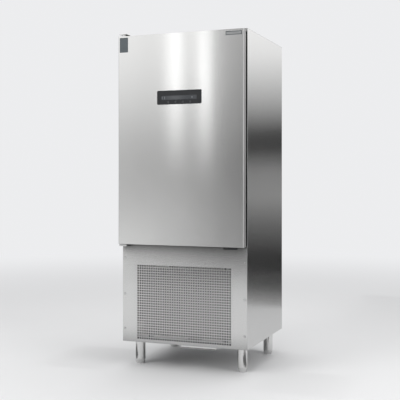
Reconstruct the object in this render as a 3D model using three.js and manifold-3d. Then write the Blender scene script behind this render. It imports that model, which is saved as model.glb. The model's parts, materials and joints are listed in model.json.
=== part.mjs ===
// Upright blast chiller: one insulated door over a fifteen-level chamber, with the cooling
// machinery in a compartment below it, on four round legs.
// Millimetres, +X right, +Y back, +Z up. The origin is on the floor under the middle of the
// machine. The door faces -Y and hangs on the left, as seen from the front.

import * as THREE from "three";
import { mergeVertices } from "three/addons/utils/BufferGeometryUtils.js";
import Module from "manifold-3d";

const wasm = await Module();
wasm.setup();

// ---- Driving dimensions -------------------------------------------------------------------

const gap = 0.3; // between pieces that touch
const overlap = 0.5; // how far the parts of one piece run into each other
const cutMargin = 1; // how far a cutting shape runs past the face that it cuts

// Cabinet
const width = 790;
const bodyDepth = 745;
const bodyTop = 2000;
const legHeight = 150; // underside of the body above the floor
const sheet = 1.2;
const frontReturn = 30; // folded edges of the side sheets
const rearReturn = 22;
const topLip = 40;

// Chamber
const chamberBottom = 744; // underside of the insulated box
const sideWall = 60;
const floorWall = 60;
const roofWall = 72;
const rearWall = 60;
const chamberCorner = 20;
const linerSheet = 1;
const frameDepth = 10;

// Door
const doorSheet = 1;
const doorPanDepth = 42;
const doorProfileDepth = 18;
const gasketDepth = 12;
const doorTopDrop = 12; // top of the door below the top of the body
const doorBend = 5;
const doorBackLip = 8;
const doorGripLip = 24;
const profileInset = 2;
const profileGripInset = 20; // leaves the finger channel down the free edge
const profileBand = 53;
const innerPanDepth = 15;
const gasketInset = 30;
const gasketWidth = 20;

// Door hinge
const pivotInset = 25; // pin axis from the side of the cabinet
const pivotSetback = 42; // pin axis ahead of the body's front
const pinRadius = 6;
const pinClearance = 0.5;
const pinReach = 28; // how far each pin goes into the door
const shoulderRadius = 10;
const bracketWidth = 50;
const bracketReach = 60; // ahead of the body's front
const topBracketSheet = 4;
const topBracketHold = 70; // length that lies on the roof
const bottomBracketPlate = 8;
const bottomBracketDrop = 70;
const bottomBracketFlange = 7;
const doorBottomClearance = 2;

// Control panel
const bezelWidth = 280;
const bezelHeight = 82;
const bezelMiddle = 1611; // height of its middle above the floor
const bezelCorner = 7;
const bezelProud = 1.5;
const bezelOverhang = 5; // beyond the cut-out in the door
const bezelDepth = 20;
const windowWidth = 220;
const windowHeight = 24;
const windowDepth = 3;
const windowRise = -2; // middle of the window above the middle of the bezel
const keyRadius = 7;
const keyCount = 4;
const keyPitch = 46;
const keyDrop = 27; // middle of the keys below the middle of the bezel
const keyThickness = 5;
const keyTravel = 1;
const keyClearance = 0.4;
const keyBottomGap = 1; // under a pressed key
const keyBevel = 0.6;

// Lower front panel
const panelProud = 10;
const panelBottomGap = 2;
const panelTopGap = 6;
const ventWidth = 591;
const ventHeight = 448;
const ventBottom = 170;
const ventColumns = 10;
const ventRows = 8;
const ventOpening = 38;
const screwInset = 15;
const screwHeights = [230, 440, 655];
const screwRadius = 2;
const screwLength = 16;
const screwHeadRadius = 5;
const screwHeadHeight = 2.5;
const screwHeadEdge = 1;
const screwHeadFlat = 3;
const hingeNotchWidth = 51;
const hingeNotchDepth = 9;
const switchSideGap = 58; // its end from the right side
const switchWidth = 85;
const switchHeight = 12;
const switchClearance = 1;
const switchTabDepth = 9; // tab that fixes it under the front frame

// Legs and feet
const legRadius = 30;
const legWall = 1.5;
const legTopPlate = 3;
const legInset = 65;
const legSetback = 105;
const legInsertHeight = 15;
const footHeight = 25;
const footBottomRadius = 24.5;
const footTopRadius = 29;
const footLand = 4; // straight edge below its top
const spindleRadius = 6;
const spindleLength = 70;

// Drip tray
const trayWidth = 226;
const trayMiddle = 53;
const trayLength = 300;
const trayDepth = 30;
const traySetback = 100; // its front behind the body's front
const trayRim = 8;
const trayPull = 12; // finger edge ahead of its front
const traySheet = 1.2;
const trayTopGap = 5;
const trayRimInset = 2; // ends of its rims from its front and back
const guideSideGap = 2;
const guideLipGap = 1;
const guideTab = 69;
const guideTabHeight = 12;
const guideFlange = 25;

// Racks
const levelPitch = 70;
const firstLevelRise = 44; // lowest runners above the chamber's floor
const rackSetback = 15; // front of the runners behind the chamber's mouth
const runnerLength = 395;
const runnerWidth = 27;
const runnerHeight = 12;
const runnerSheet = 1.5;
const uprightWidth = 24;
const uprightDepth = 11;
const uprightInset = 45;
const uprightEnd = 26; // above the highest runners

// Fan wall and evaporator
const fanWallSetback = 430; // from the body's front
const fanWallSideGap = 35; // to the chamber's sides
const fanWallDepth = 40;
const fanWallMargin = 24; // to the chamber's floor and roof
const fanWallEar = 30;
const guardBar = 5;
const guardLap = 2; // how far the guard bars run onto the wall
const chamberFanRadius = 125;
const chamberFanMargin = 306; // middle of each fan from the chamber's floor or roof
const chamberFanSetback = 10; // behind the fan wall's sheet
const fanClearance = 10;
const coilSetback = 575; // front of the evaporator from the body's front
const coilDepth = 100;
const coilSideGap = 65;
const coilFloorGap = 66;
const coilRoofGap = 58;
const coilTab = 60; // height of the tabs that hold it to the chamber's back
const suctionInset = 25; // suction header from the evaporator's right end
const finPitch = 30;
const finThickness = 3;
const finCore = 14; // solid depth in the middle of a coil
const bendRadius = 13;
const bendTube = 5;
const bendRoot = 4; // how far a return bend runs into the fins
const bendStraight = 3;
const bendSteps = 4;
const bendStart = 0.35; // lowest bend above the coil's bottom, in bend spacings
const stubRoot = 30; // how far a pipe stub runs into its coil
const stubReach = 20; // and out of it

// Machine compartment
const baseSheet = 2;
const baseLip = 30;
const condenserSetback = 32;
const condenserDepth = 60;
const condenserSideGap = 125;
const condenserBottom = 190;
const condenserTop = 600;
const condenserFootInset = 20; // from its ends
const condenserFootWidth = 20;
const condenserFootMargin = 10; // from its front and back
const condenserFanRadius = 150;
const condenserFanHeight = 395;
const condenserFanSetback = 112;
const motorStandWidth = 60;
const motorStandSheet = 6;
const motorStandSetback = 20; // from the motor's front
const motorStandLap = 10; // how far it runs into the motor
const motorShoeWidth = 90;
const motorShoeDepth = 50;
const motorShoeSheet = 4;
const compressorSideGap = 205; // its axis from the right side
const compressorRearGap = 240;
const compressorRadius = 98;
const compressorHeight = 250;
const compressorFoot = 12;
const potBottomRadius = 78;
const potBottomRise = 22;
const potCrown = [[70, 98], [30, 86], [6, 54]]; // steps of its crown: below the top, radius
const footPlateReach = 12;
const footPlateRise = 6;
const footPlateLap = 4;
const footPadRadius = 14;
const footPadX = 94;
const footPadY = 61;
const terminalReach = 26;
const terminalWidth = 70;
const terminalRise = 90;
const terminalHeight = 80;
const stubOffset = 45;
const stubRadius = 6;
const stubDrop = 90; // how far the compressor's stubs start below its top
const stubTop = 450;
const receiverSideGap = 205; // its axis from the left side
const receiverRearGap = 220;
const receiverRadius = 55;
const receiverHeight = 250;
const receiverStandRadius = 47;
const receiverStandHeight = 14;
const receiverRounding = 12;
const receiverCrown = [[40, 55], [14, 44], [0, 19]]; // below the top, radius
const receiverValveRadius = 9;
const receiverValveHeight = 34;
const boxWidth = 132;
const boxLength = 210;
const boxHeight = 250;
const boxRoofGap = 54; // below the insulated box
const boxStart = -150;
const boxWall = 2;
const drainPlace = [120, 0];
const drainRadius = 11;
const drainWall = 2;
const drainFlange = 8;
const drainFlangeSheet = 2;
const drainTrayGap = 1.5; // its lower end above the drip tray
const suctionRadius = 8;
const suctionDrop = 10; // straight below the insulated box
const suctionBend = 60;
const suctionCrossing = 160; // middle of its slanted run below the insulated box
const suctionEnd = 60; // straight above the compressor's stub
const dischargeRadius = 6;
const dischargeRise = [[0, 0, 70], [40, -100, 170]]; // bends, from the compressor's stub
const dischargeFall = [[0, 120, 80], [0, 20, 70], [0, 0, 44]]; // bends, from the condenser's top
const dischargeInset = 30; // condenser's stub from its right end
const holeClearance = 1;
const glandSideGap = 145; // its axis from the left side
const glandRearGap = 69;
const glandRadius = 11;
const glandHeight = 22;
const glandBore = 3;
const glandNeck = 6;
const glandChamfer = 2;
const glandNutReach = 5;
const glandThread = 12;
const rearSlotRows = 12;
const rearSlotOffset = 160; // middle of each column of slots from the machine's middle
const rearSlotWidth = 240;
const rearSlotHeight = 10;
const rearSlotPitch = 30;
const rearSlotBottom = 240;

// ---- Places worked out from them ----------------------------------------------------------

const doorProjection = doorPanDepth + doorProfileDepth + gasketDepth;
const back = (bodyDepth + doorProjection + bezelProud) / 2;
const front = back - bodyDepth;
const doorFace = front - doorProjection;
const doorPanBack = doorFace + doorPanDepth;
const side = width / 2;
const chamberSide = side - sideWall;
const chamberFloor = chamberBottom + floorWall;
const chamberCeiling = bodyTop - roofWall;
const chamberMouth = front + frameDepth + gap;
const chamberBack = back - rearWall;
const baseTop = legHeight + baseSheet;
const doorBottom = chamberBottom;
const doorTop = bodyTop - doorTopDrop;
const pivotX = -side + pivotInset;
const pivotY = front - pivotSetback;
const panelFront = front - panelProud;
const panelBottom = legHeight + panelBottomGap;
const panelTop = chamberBottom - panelTopGap;
const firstLevel = chamberFloor + firstLevelRise;
const lastLevelLimit = chamberCeiling - chamberCorner - gap - uprightEnd;
const levels = Math.floor((lastLevelLimit - firstLevel) / levelPitch) + 1;
const fanWallFront = front + fanWallSetback;
const fanWallBack = fanWallFront + sheet;
const chamberFanHeights = [chamberFloor + chamberFanMargin, chamberCeiling - chamberFanMargin];
const coilSide = chamberSide - coilSideGap;
const coilBottom = chamberFloor + coilFloorGap;
const coilTop = chamberCeiling - coilRoofGap;
const condenserSide = side - condenserSideGap;
const compressorPlace = [side - compressorSideGap, back - compressorRearGap];
const receiverPlace = [receiverSideGap - side, back - receiverRearGap];
const suctionPlace = [coilSide - suctionInset, front + coilSetback + coilDepth / 2];
const dischargePlace = [condenserSide - dischargeInset, front + condenserSetback + condenserDepth / 2];
const glandPlace = [glandSideGap - side, back - glandRearGap];
const bracketTop = doorBottom - doorBottomClearance;

// ---- Shapes -------------------------------------------------------------------------------

// A closed three.js geometry as a solid: corners are joined, and the triangles without area
// that a turned shape leaves on its axis are dropped.
function solid(geometry) {
  geometry.deleteAttribute("normal");
  geometry.deleteAttribute("uv");
  const joined = mergeVertices(geometry, 1e-4);
  const corners = joined.index.array;
  const triangles = [];
  for (let i = 0; i < corners.length; i += 3) {
    const [a, b, c] = corners.slice(i, i + 3);
    if (a !== b && b !== c && c !== a) triangles.push(a, b, c);
  }
  return new wasm.Manifold(new wasm.Mesh({
    numProp: 3,
    vertProperties: new Float32Array(joined.attributes.position.array),
    triVerts: new Uint32Array(triangles),
  }));
}

function geometryOf(body) {
  const { vertProperties, triVerts } = body.getMesh();
  const geometry = new THREE.BufferGeometry();
  geometry.setAttribute("position", new THREE.BufferAttribute(vertProperties, 3));
  geometry.setIndex(new THREE.BufferAttribute(triVerts, 1));
  geometry.computeVertexNormals();
  return geometry;
}

const join = (bodies) => bodies.reduce((whole, next) => whole.add(next));
const cut = (body, tools) => tools.reduce((whole, next) => whole.subtract(next), body);

// A box between two corners, given as three [low, high] pairs.
function block([x0, x1], [y0, y1], [z0, z1]) {
  const geometry = new THREE.BoxGeometry(x1 - x0, y1 - y0, z1 - z0);
  geometry.translate((x0 + x1) / 2, (y0 + y1) / 2, (z0 + z1) / 2);
  return solid(geometry);
}

const outline = (points) => new THREE.Shape(points.map(([x, y]) => new THREE.Vector2(x, y)));

function rounded([x0, x1], [y0, y1], radius) {
  const shape = new THREE.Shape();
  shape.absarc(x1 - radius, y0 + radius, radius, -Math.PI / 2, 0);
  shape.absarc(x1 - radius, y1 - radius, radius, 0, Math.PI / 2);
  shape.absarc(x0 + radius, y1 - radius, radius, Math.PI / 2, Math.PI);
  shape.absarc(x0 + radius, y0 + radius, radius, Math.PI, Math.PI * 1.5);
  return shape;
}

function extrude(shape, depth, curveSegments = 4) {
  return new THREE.ExtrudeGeometry(shape, { depth, bevelEnabled: false, curveSegments });
}

// An outline in X and Y, raised from z0 to z1.
const extrudeZ = (shape, [z0, z1]) => solid(extrude(shape, z1 - z0).translate(0, 0, z0));

// An outline in X and Z, carried from y0 to y1.
function extrudeY(shape, [y0, y1], curveSegments) {
  return solid(extrude(shape, y1 - y0, curveSegments).rotateX(Math.PI / 2).translate(0, y1, 0));
}

// An outline in Y and Z, carried from x0 to x1.
function extrudeX(shape, [x0, x1]) {
  return solid(extrude(shape, x1 - x0).rotateX(Math.PI / 2).rotateZ(Math.PI / 2).translate(x0, 0, 0));
}

// The closed outline of a sheet folded along an open line, thickened to the line's left.
function folded(line, thickness) {
  const points = line.map(([x, y]) => new THREE.Vector2(x, y));
  const normals = points.slice(1).map((point, i) => {
    const along = point.clone().sub(points[i]).normalize();
    return new THREE.Vector2(-along.y, along.x);
  });
  const inner = points.map((point, i) => {
    const before = normals[Math.max(i - 1, 0)];
    const after = normals[Math.min(i, normals.length - 1)];
    const mitre = before.clone().add(after).divideScalar(1 + before.dot(after));
    return point.clone().addScaledVector(mitre, thickness);
  });
  return new THREE.Shape([...points, ...inner.reverse()]);
}

// A [radius, height] profile that starts and ends on the axis, or closes on itself, turned
// about Z. It runs from the lower end to the upper one along the outside.
function turned(profile, segments = 24) {
  const points = profile.map(([r, z]) => new THREE.Vector2(r, z));
  return solid(new THREE.LatheGeometry(points, segments).rotateX(Math.PI / 2));
}

const rod = (radius, [z0, z1], segments) =>
  turned([[0, z0], [radius, z0], [radius, z1], [0, z1]], segments);

const ring = (inner, outer, [z0, z1], segments) =>
  turned([[inner, z0], [outer, z0], [outer, z1], [inner, z1], [inner, z0]], segments);

// Turns a piece made about Z so that its top points to -Y.
const facing = (body) => body.rotate([90, 0, 0]);

function pipe(points, radius, steps, sides = 8) {
  const path = new THREE.CatmullRomCurve3(points.map((p) => new THREE.Vector3(...p)), false, "centripetal");
  const section = new THREE.Shape();
  for (let i = 0; i < sides; i += 1) {
    const angle = (i / sides) * Math.PI * 2;
    const corner = [radius * Math.cos(angle), radius * Math.sin(angle)];
    if (i === 0) section.moveTo(...corner);
    else section.lineTo(...corner);
  }
  const options = { steps, extrudePath: path, bevelEnabled: false };
  return solid(new THREE.ExtrudeGeometry(section, options));
}

// ---- Finishes and the model's group -------------------------------------------------------

const finish = (color, roughness, metalness) =>
  new THREE.MeshStandardMaterial({ color, roughness, metalness });

const steel = finish(0xb7b9bb, 0.34, 0.9);
const brightSteel = finish(0xc8cacc, 0.2, 0.95);
const galvanised = finish(0x9da1a3, 0.5, 0.8);
const blackPlastic = finish(0x17181a, 0.45, 0);
const blackGloss = finish(0x101114, 0.12, 0);
const displayGlass = finish(0x2a2d31, 0.08, 0);
const keyPlastic = finish(0x2b2d30, 0.3, 0);
const foam = finish(0xd8c98f, 0.9, 0);
const rubber = finish(0x2c2d2f, 0.7, 0);
const aluminium = finish(0xc2c5c8, 0.4, 0.85);
const copper = finish(0xb87344, 0.35, 0.9);
const blackPaint = finish(0x1c1d1f, 0.4, 0.2);
const greyPlastic = finish(0x8f9295, 0.5, 0);

const chiller = new THREE.Group();

function piece(name, body, material, place = [0, 0, 0]) {
  const mesh = new THREE.Mesh(geometryOf(body), material);
  mesh.name = name;
  mesh.position.set(...place);
  chiller.add(mesh);
}

// ---- Casing -------------------------------------------------------------------------------

const panelSides = [["left", -1], ["right", 1]];
const screwX = side - screwInset;

function sidePanel(sign) {
  const line = [
    [sign * (side - rearReturn), back],
    [sign * side, back],
    [sign * side, front],
    [sign * (side - frontReturn), front],
  ];
  const body = extrudeZ(folded(line, -sign * sheet), [legHeight, bodyTop - sheet - gap]);
  const holes = screwHeights.map((z) =>
    facing(rod(screwRadius + gap, [-sheet * 2, sheet * 2], 12)).translate([sign * screwX, front, z]));
  return cut(body, holes);
}

function topPanel() {
  const inner = (lip) => side - lip - gap;
  return join([
    block([-side, side], [front, back], [bodyTop - sheet, bodyTop]),
    block([-inner(frontReturn), inner(frontReturn)], [front, front + sheet], [bodyTop - topLip, bodyTop]),
    block([-inner(rearReturn), inner(rearReturn)], [back - sheet, back], [bodyTop - topLip, bodyTop]),
  ]);
}

function rearPanel() {
  const half = side - rearReturn - gap;
  return block([-half, half], [back - sheet, back], [chamberBottom, bodyTop - topLip - gap]);
}

function rearGrille() {
  const half = side - rearReturn - gap;
  const slots = [];
  for (const sign of [-1, 1]) {
    for (let row = 0; row < rearSlotRows; row += 1) {
      const x = sign * rearSlotOffset;
      const z = rearSlotBottom + row * rearSlotPitch;
      slots.push(block([x - rearSlotWidth / 2, x + rearSlotWidth / 2],
        [back - sheet - cutMargin, back + cutMargin], [z, z + rearSlotHeight]));
    }
  }
  return cut(block([-half, half], [back - sheet, back], [legHeight, chamberBottom - gap]), [join(slots)]);
}

function baseTray() {
  const half = side - sheet - gap;
  const y = [front + sheet + gap, back - sheet - gap];
  const through = [legHeight - cutMargin, baseTop + cutMargin];
  return cut(block([-half, half], y, [legHeight, legHeight + baseLip]), [
    block([-half + baseSheet, half - baseSheet], [y[0] + baseSheet, y[1] - baseSheet],
      [baseTop, legHeight + baseLip + cutMargin]),
    rod(drainRadius + holeClearance, through, 16).translate([...drainPlace, 0]),
    rod(glandRadius + gap, through, 16).translate([...glandPlace, 0]),
  ]);
}

function makeCasing() {
  for (const [name, sign] of panelSides) piece(`${name}_side_panel`, sidePanel(sign), steel);
  piece("top_panel", topPanel(), steel);
  piece("rear_panel", rearPanel(), galvanised);
  piece("rear_grille", rearGrille(), galvanised);
  piece("base_tray", baseTray(), galvanised);
}

// ---- Chamber ------------------------------------------------------------------------------

function throughFloor([x, y], radius) {
  const reach = [chamberBottom - cutMargin, chamberFloor + cutMargin];
  return rod(radius + holeClearance, reach, 16).translate([x, y, 0]);
}

function frontFrame() {
  const half = side - frontReturn - gap;
  const shape = outline([[-half, chamberBottom], [half, chamberBottom],
    [half, bodyTop - topLip - gap], [-half, bodyTop - topLip - gap]]);
  shape.holes.push(rounded([-chamberSide, chamberSide], [chamberFloor, chamberCeiling], chamberCorner));
  return extrudeY(shape, [front, front + frameDepth]);
}

function linerSpace(grow, y) {
  return extrudeY(rounded([-chamberSide - grow, chamberSide + grow],
    [chamberFloor - grow, chamberCeiling + grow], chamberCorner + grow), y);
}

const floorPipes = () => [throughFloor(drainPlace, drainRadius), throughFloor(suctionPlace, suctionRadius)];

function innerLiner() {
  return cut(linerSpace(linerSheet, [chamberMouth, chamberBack + linerSheet]),
    [linerSpace(0, [chamberMouth - cutMargin, chamberBack]), ...floorPipes()]);
}

function insulation() {
  const x = [sheet + gap - side, side - sheet - gap];
  const y = [chamberMouth, back - sheet - gap];
  const grow = linerSheet + gap;
  const whole = block(x, y, [chamberBottom, bodyTop - topLip - gap]);
  const crown = block(x, y, [chamberCeiling + grow + cutMargin, bodyTop - sheet - gap]);
  return cut(whole.add(crown),
    [linerSpace(grow, [chamberMouth - cutMargin, chamberBack + grow]), ...floorPipes()]);
}

function rack(sign) {
  const wallSide = chamberSide - gap;
  const inner = wallSide - uprightDepth;
  const start = chamberMouth + rackSetback;
  const uprights = [uprightInset, runnerLength - uprightInset - uprightWidth].map((along) =>
    block([inner, wallSide], [start + along, start + along + uprightWidth],
      [chamberFloor + chamberCorner + gap, firstLevel + (levels - 1) * levelPitch + uprightEnd]));
  const section = (z) => folded([[inner + overlap, z + runnerHeight], [inner + overlap, z],
    [inner + overlap - runnerWidth, z]], -runnerSheet);
  const runners = [];
  for (let level = 0; level < levels; level += 1) {
    runners.push(extrudeY(section(firstLevel + level * levelPitch), [start, start + runnerLength]));
  }
  const right = join([...uprights, ...runners]);
  return sign > 0 ? right : right.mirror([1, 0, 0]);
}

function makeChamber() {
  piece("front_frame", frontFrame(), greyPlastic);
  piece("inner_liner", innerLiner(), steel);
  piece("insulation", insulation(), foam);
  for (const [name, sign] of panelSides) piece(`rack_${name}`, rack(sign), brightSteel);
}

// ---- Fans ---------------------------------------------------------------------------------

// A fan about Y, its middle at the origin, with a blind bore from the back for the shaft.
const hubRadius = 34;
const fanDepth = 34;
const shaftRadius = 5;
const shaftBore = 22;
const bladeCount = 5;
const bladeSheet = 2;
const bladeTilt = 24; // degrees
const bladeRoot = 8; // how far a blade runs into the hub
const bladeRootEdges = [-18, 14];
const bladeTip = 0.3; // half the angle of its tip, in radians
const bladeShoulder = [0.8, -0.26]; // its leading corner, in fan radii

function fan(radius) {
  const half = fanDepth / 2;
  const bore = shaftRadius + gap;
  const hub = turned([[0, half - shaftBore], [bore, half - shaftBore], [bore, half],
    [hubRadius, half], [hubRadius, -half], [0, -half]].reverse(), 16);
  const blade = new THREE.Shape();
  blade.moveTo(hubRadius - bladeRoot, bladeRootEdges[0]);
  blade.lineTo(radius * bladeShoulder[0], radius * bladeShoulder[1]);
  blade.absarc(0, 0, radius, -bladeTip, bladeTip, false);
  blade.lineTo(hubRadius - bladeRoot, bladeRootEdges[1]);
  const one = solid(extrude(blade, bladeSheet, 3).translate(0, 0, -bladeSheet / 2)).rotate([bladeTilt, 0, 0]);
  const blades = [];
  for (let i = 0; i < bladeCount; i += 1) blades.push(one.rotate([0, 0, (i * 360) / bladeCount]));
  return join([hub, ...blades]).rotate([-90, 0, 0]);
}

// A motor about Y behind a fan whose middle is at the origin: its shaft reaches into the hub.
const motorRadius = 42;
const motorLength = 66;
const motorGap = 18; // between the fan and the motor
const motorEndRadius = 29;
const motorRounding = 8;
const shaftSpare = 4; // between the shaft's end and the bottom of its bore

function motor() {
  const start = fanDepth / 2 + motorGap;
  const end = start + motorLength;
  const shaftEnd = fanDepth / 2 - shaftBore + shaftSpare;
  return turned([[0, shaftEnd], [shaftRadius, shaftEnd], [shaftRadius, start], [motorEndRadius, start],
    [motorRadius, start + motorRounding], [motorRadius, end - motorRounding],
    [motorEndRadius, end], [0, end]], 20).rotate([-90, 0, 0]);
}

const armWidth = 20;
const armSheet = 4;
const armSetback = 6; // from the motor's front
const armReach = 20; // beyond the opening in the fan wall

// The chamber's fan motors hang from the fan wall on a bar with two legs.
function chamberMotor() {
  const start = fanDepth / 2 + motorGap + armSetback;
  const reach = chamberFanRadius + fanClearance + armReach;
  const wall = fanWallBack + gap - chamberFanY;
  const bar = block([-armWidth / 2, armWidth / 2], [start, start + armSheet], [-reach, reach]);
  const legs = [-1, 1].map((end) => block([-armWidth / 2, armWidth / 2], [wall, start + overlap],
    end > 0 ? [reach - armSheet, reach] : [-reach, armSheet - reach]));
  return join([motor(), bar, ...legs]);
}

const chamberFanY = fanWallBack + chamberFanSetback + fanDepth / 2;

function fanWall() {
  const half = chamberSide - fanWallSideGap;
  const end = fanWallFront + fanWallDepth;
  const z = [chamberFloor + fanWallMargin, chamberCeiling - fanWallMargin];
  const pan = cut(block([-half, half], [fanWallFront, end], z), [
    block([sheet - half, half - sheet], [fanWallBack, end + cutMargin], [z[0] + sheet, z[1] - sheet]),
    ...chamberFanHeights.map((height) =>
      facing(rod(chamberFanRadius + fanClearance, [-sheet * 2, sheet * 2], 32))
        .translate([0, fanWallFront, height])),
  ]);
  const reach = chamberFanRadius + fanClearance + guardLap;
  const guards = chamberFanHeights.flatMap((height) => [
    block([-reach, reach], [fanWallFront, fanWallBack], [height - guardBar / 2, height + guardBar / 2]),
    block([-guardBar / 2, guardBar / 2], [fanWallFront, fanWallBack], [height - reach, height + reach]),
  ]);
  const ears = [-1, 1].flatMap((sign) => [z[0] + fanWallEar * 2, z[1] - fanWallEar * 3].map((low) => {
    const x = [half - overlap, chamberSide - gap];
    return block(sign > 0 ? x : [-x[1], -x[0]], [fanWallFront, fanWallBack], [low, low + fanWallEar]);
  }));
  return join([pan, ...guards, ...ears]);
}

// ---- Coils --------------------------------------------------------------------------------

// A finned coil between x0 and x1, with the return bends of its tubes at both ends.
function coil([x0, x1], [y0, y1], [z0, z1], bends) {
  const count = Math.round((x1 - x0 - finThickness) / finPitch) + 1;
  const pitch = (x1 - x0 - finThickness) / (count - 1);
  const middle = (y0 + y1) / 2;
  const fins = (edge, root) => Array.from({ length: count }, (_, i) => {
    const x = x0 + i * pitch;
    return [[x, root], [x, edge], [x + finThickness, edge], [x + finThickness, root]];
  }).flat();
  const nearSide = fins(y0, middle - finCore / 2);
  const farSide = fins(y1, middle + finCore / 2).reverse();
  const stack = extrudeZ(outline([...nearSide, ...farSide]), [z0, z1]);
  const spacing = (z1 - z0) / (bends + 0.5);
  const loops = [];
  for (let i = 0; i < bends; i += 1) {
    const low = z0 + spacing * (i + bendStart);
    loops.push(returnBend(x1, middle, low, 1), returnBend(x0, middle, low + spacing / 2, -1));
  }
  return join([stack, ...loops]);
}

function returnBend(x, y, z, sign) {
  const points = [[x - sign * bendRoot, y, z]];
  for (let i = 0; i <= bendSteps; i += 1) {
    const angle = (i / bendSteps) * Math.PI;
    const out = bendStraight + bendRadius * Math.sin(angle);
    points.push([x + sign * out, y, z + bendRadius * (1 - Math.cos(angle))]);
  }
  points.push([x - sign * bendRoot, y, z + 2 * bendRadius]);
  return pipe(points, bendTube, 7, 6);
}

function evaporator() {
  const y = [front + coilSetback, front + coilSetback + coilDepth];
  const header = rod(suctionRadius, [coilBottom - stubReach, coilBottom + stubRoot], 12);
  const tabBottoms = [coilBottom + coilTab, coilTop - coilTab * 2];
  const tabs = [-coilSide, coilSide - finThickness].flatMap((x) => tabBottoms.map((z) =>
    block([x, x + finThickness], [y[1] - overlap, chamberBack - gap], [z, z + coilTab])));
  const body = coil([-coilSide, coilSide], y, [coilBottom, coilTop], 4);
  return join([body, header.translate([...suctionPlace, 0]), ...tabs]);
}

function condenser() {
  const y = [front + condenserSetback, front + condenserSetback + condenserDepth];
  const stub = rod(stubRadius, [condenserTop - stubRoot, condenserTop + stubReach], 12);
  const body = coil([-condenserSide, condenserSide], y, [condenserBottom, condenserTop], 2);
  const footStart = condenserSide - condenserFootInset - condenserFootWidth;
  const feet = [-footStart - condenserFootWidth, footStart].map((x) =>
    block([x, x + condenserFootWidth], [y[0] + condenserFootMargin, y[1] - condenserFootMargin],
      [baseTop + gap, condenserBottom + overlap]));
  return join([body, stub.translate([...dischargePlace, 0]), ...feet]);
}

// ---- Cooling machinery --------------------------------------------------------------------

function compressor() {
  const base = baseTop + gap;
  const r = compressorRadius;
  const potBase = base + compressorFoot;
  const top = potBase + compressorHeight;
  const crown = potCrown.map(([drop, radius]) => [radius, top - drop]);
  const pot = turned([[0, potBase], [potBottomRadius, potBase], [r, potBase + potBottomRise], ...crown,
    [0, top]], 28);
  const plateTop = potBase + footPlateLap;
  const plate = block([-r - footPlateReach, r + footPlateReach], [-potBottomRadius, potBottomRadius],
    [base + footPlateRise, plateTop]);
  const pads = [-footPadX, footPadX].flatMap((x) => [-footPadY, footPadY].map((y) =>
    rod(footPadRadius, [base, base + footPlateRise + overlap], 12).translate([x, y, 0])));
  const stubs = [-stubOffset, stubOffset].map((x) =>
    rod(stubRadius, [top - stubDrop, stubTop], 12).translate([x, 0, 0]));
  const terminals = block([-r - terminalReach, -potBottomRadius], [-terminalWidth / 2, terminalWidth / 2],
    [base + terminalRise, base + terminalRise + terminalHeight]);
  return join([pot, plate, ...pads, ...stubs, terminals]);
}

function receiver() {
  const base = baseTop + gap;
  const top = base + receiverHeight;
  const stand = base + receiverStandHeight;
  const crown = receiverCrown.map(([drop, radius]) => [radius, top - drop]);
  return turned([[0, base], [receiverStandRadius, base], [receiverStandRadius, stand],
    [receiverRadius, stand + receiverRounding], ...crown, [receiverValveRadius, top],
    [receiverValveRadius, top + receiverValveHeight], [0, top + receiverValveHeight]], 24);
}

function condenserMotor() {
  const start = fanDepth / 2 + motorGap + motorStandSetback;
  const foot = baseTop + gap - condenserFanHeight;
  const post = block([-motorStandWidth / 2, motorStandWidth / 2], [start, start + motorStandSheet],
    [foot, motorStandLap - motorRadius]);
  const shoe = block([-motorShoeWidth / 2, motorShoeWidth / 2], [start - overlap, start + motorShoeDepth],
    [foot, foot + motorShoeSheet]);
  return join([motor(), post, shoe]);
}

function electricalBox() {
  const start = sheet + gap - side;
  const bottom = chamberBottom - boxRoofGap - boxHeight;
  const x = [start, start + boxWidth];
  const y = [boxStart, boxStart + boxLength];
  const z = [bottom, bottom + boxHeight];
  return cut(block(x, y, z), [block([x[0] - cutMargin, x[1] - boxWall],
    [y[0] + boxWall, y[1] - boxWall], [z[0] + boxWall, z[1] - boxWall])]);
}

function suctionPipe() {
  const [x, y] = suctionPlace;
  const stubX = compressorPlace[0] + stubOffset;
  const stubY = compressorPlace[1];
  return pipe([[x, y, coilBottom - stubReach - gap], [x, y, chamberFloor], [x, y, chamberBottom - suctionDrop],
    [x, y, chamberBottom - suctionBend],
    [(x + stubX) / 2, (y + stubY) / 2, chamberBottom - suctionCrossing],
    [stubX, stubY, stubTop + suctionEnd], [stubX, stubY, stubTop + gap]], suctionRadius, 20);
}

function dischargePipe() {
  const from = [compressorPlace[0] - stubOffset, compressorPlace[1], stubTop];
  const to = [...dischargePlace, condenserTop];
  const moved = (start) => (step) => step.map((along, axis) => start[axis] + along);
  return pipe([moved(from)([0, 0, gap]), ...dischargeRise.map(moved(from)), ...dischargeFall.map(moved(to)),
    moved(to)([0, 0, stubReach + gap])], dischargeRadius, 22);
}

function drainPipe() {
  const low = legHeight - trayTopGap + drainTrayGap;
  const bore = drainRadius - drainWall;
  const collarBottom = chamberFloor + gap;
  const collar = ring(bore, drainRadius + drainFlange, [collarBottom, collarBottom + drainFlangeSheet], 20);
  return collar.add(ring(bore, drainRadius, [low, collarBottom + overlap], 20));
}

function cableGland() {
  const low = legHeight - glandHeight;
  const nut = glandRadius + glandNutReach;
  const top = baseTop + glandThread;
  return turned([[glandBore, low], [glandRadius - glandChamfer, low], [glandRadius, low + glandNeck],
    [nut, low + glandNeck + glandChamfer], [nut, legHeight - gap], [glandRadius, legHeight - gap],
    [glandRadius, top], [glandBore, top], [glandBore, low]], 12);
}

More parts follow.
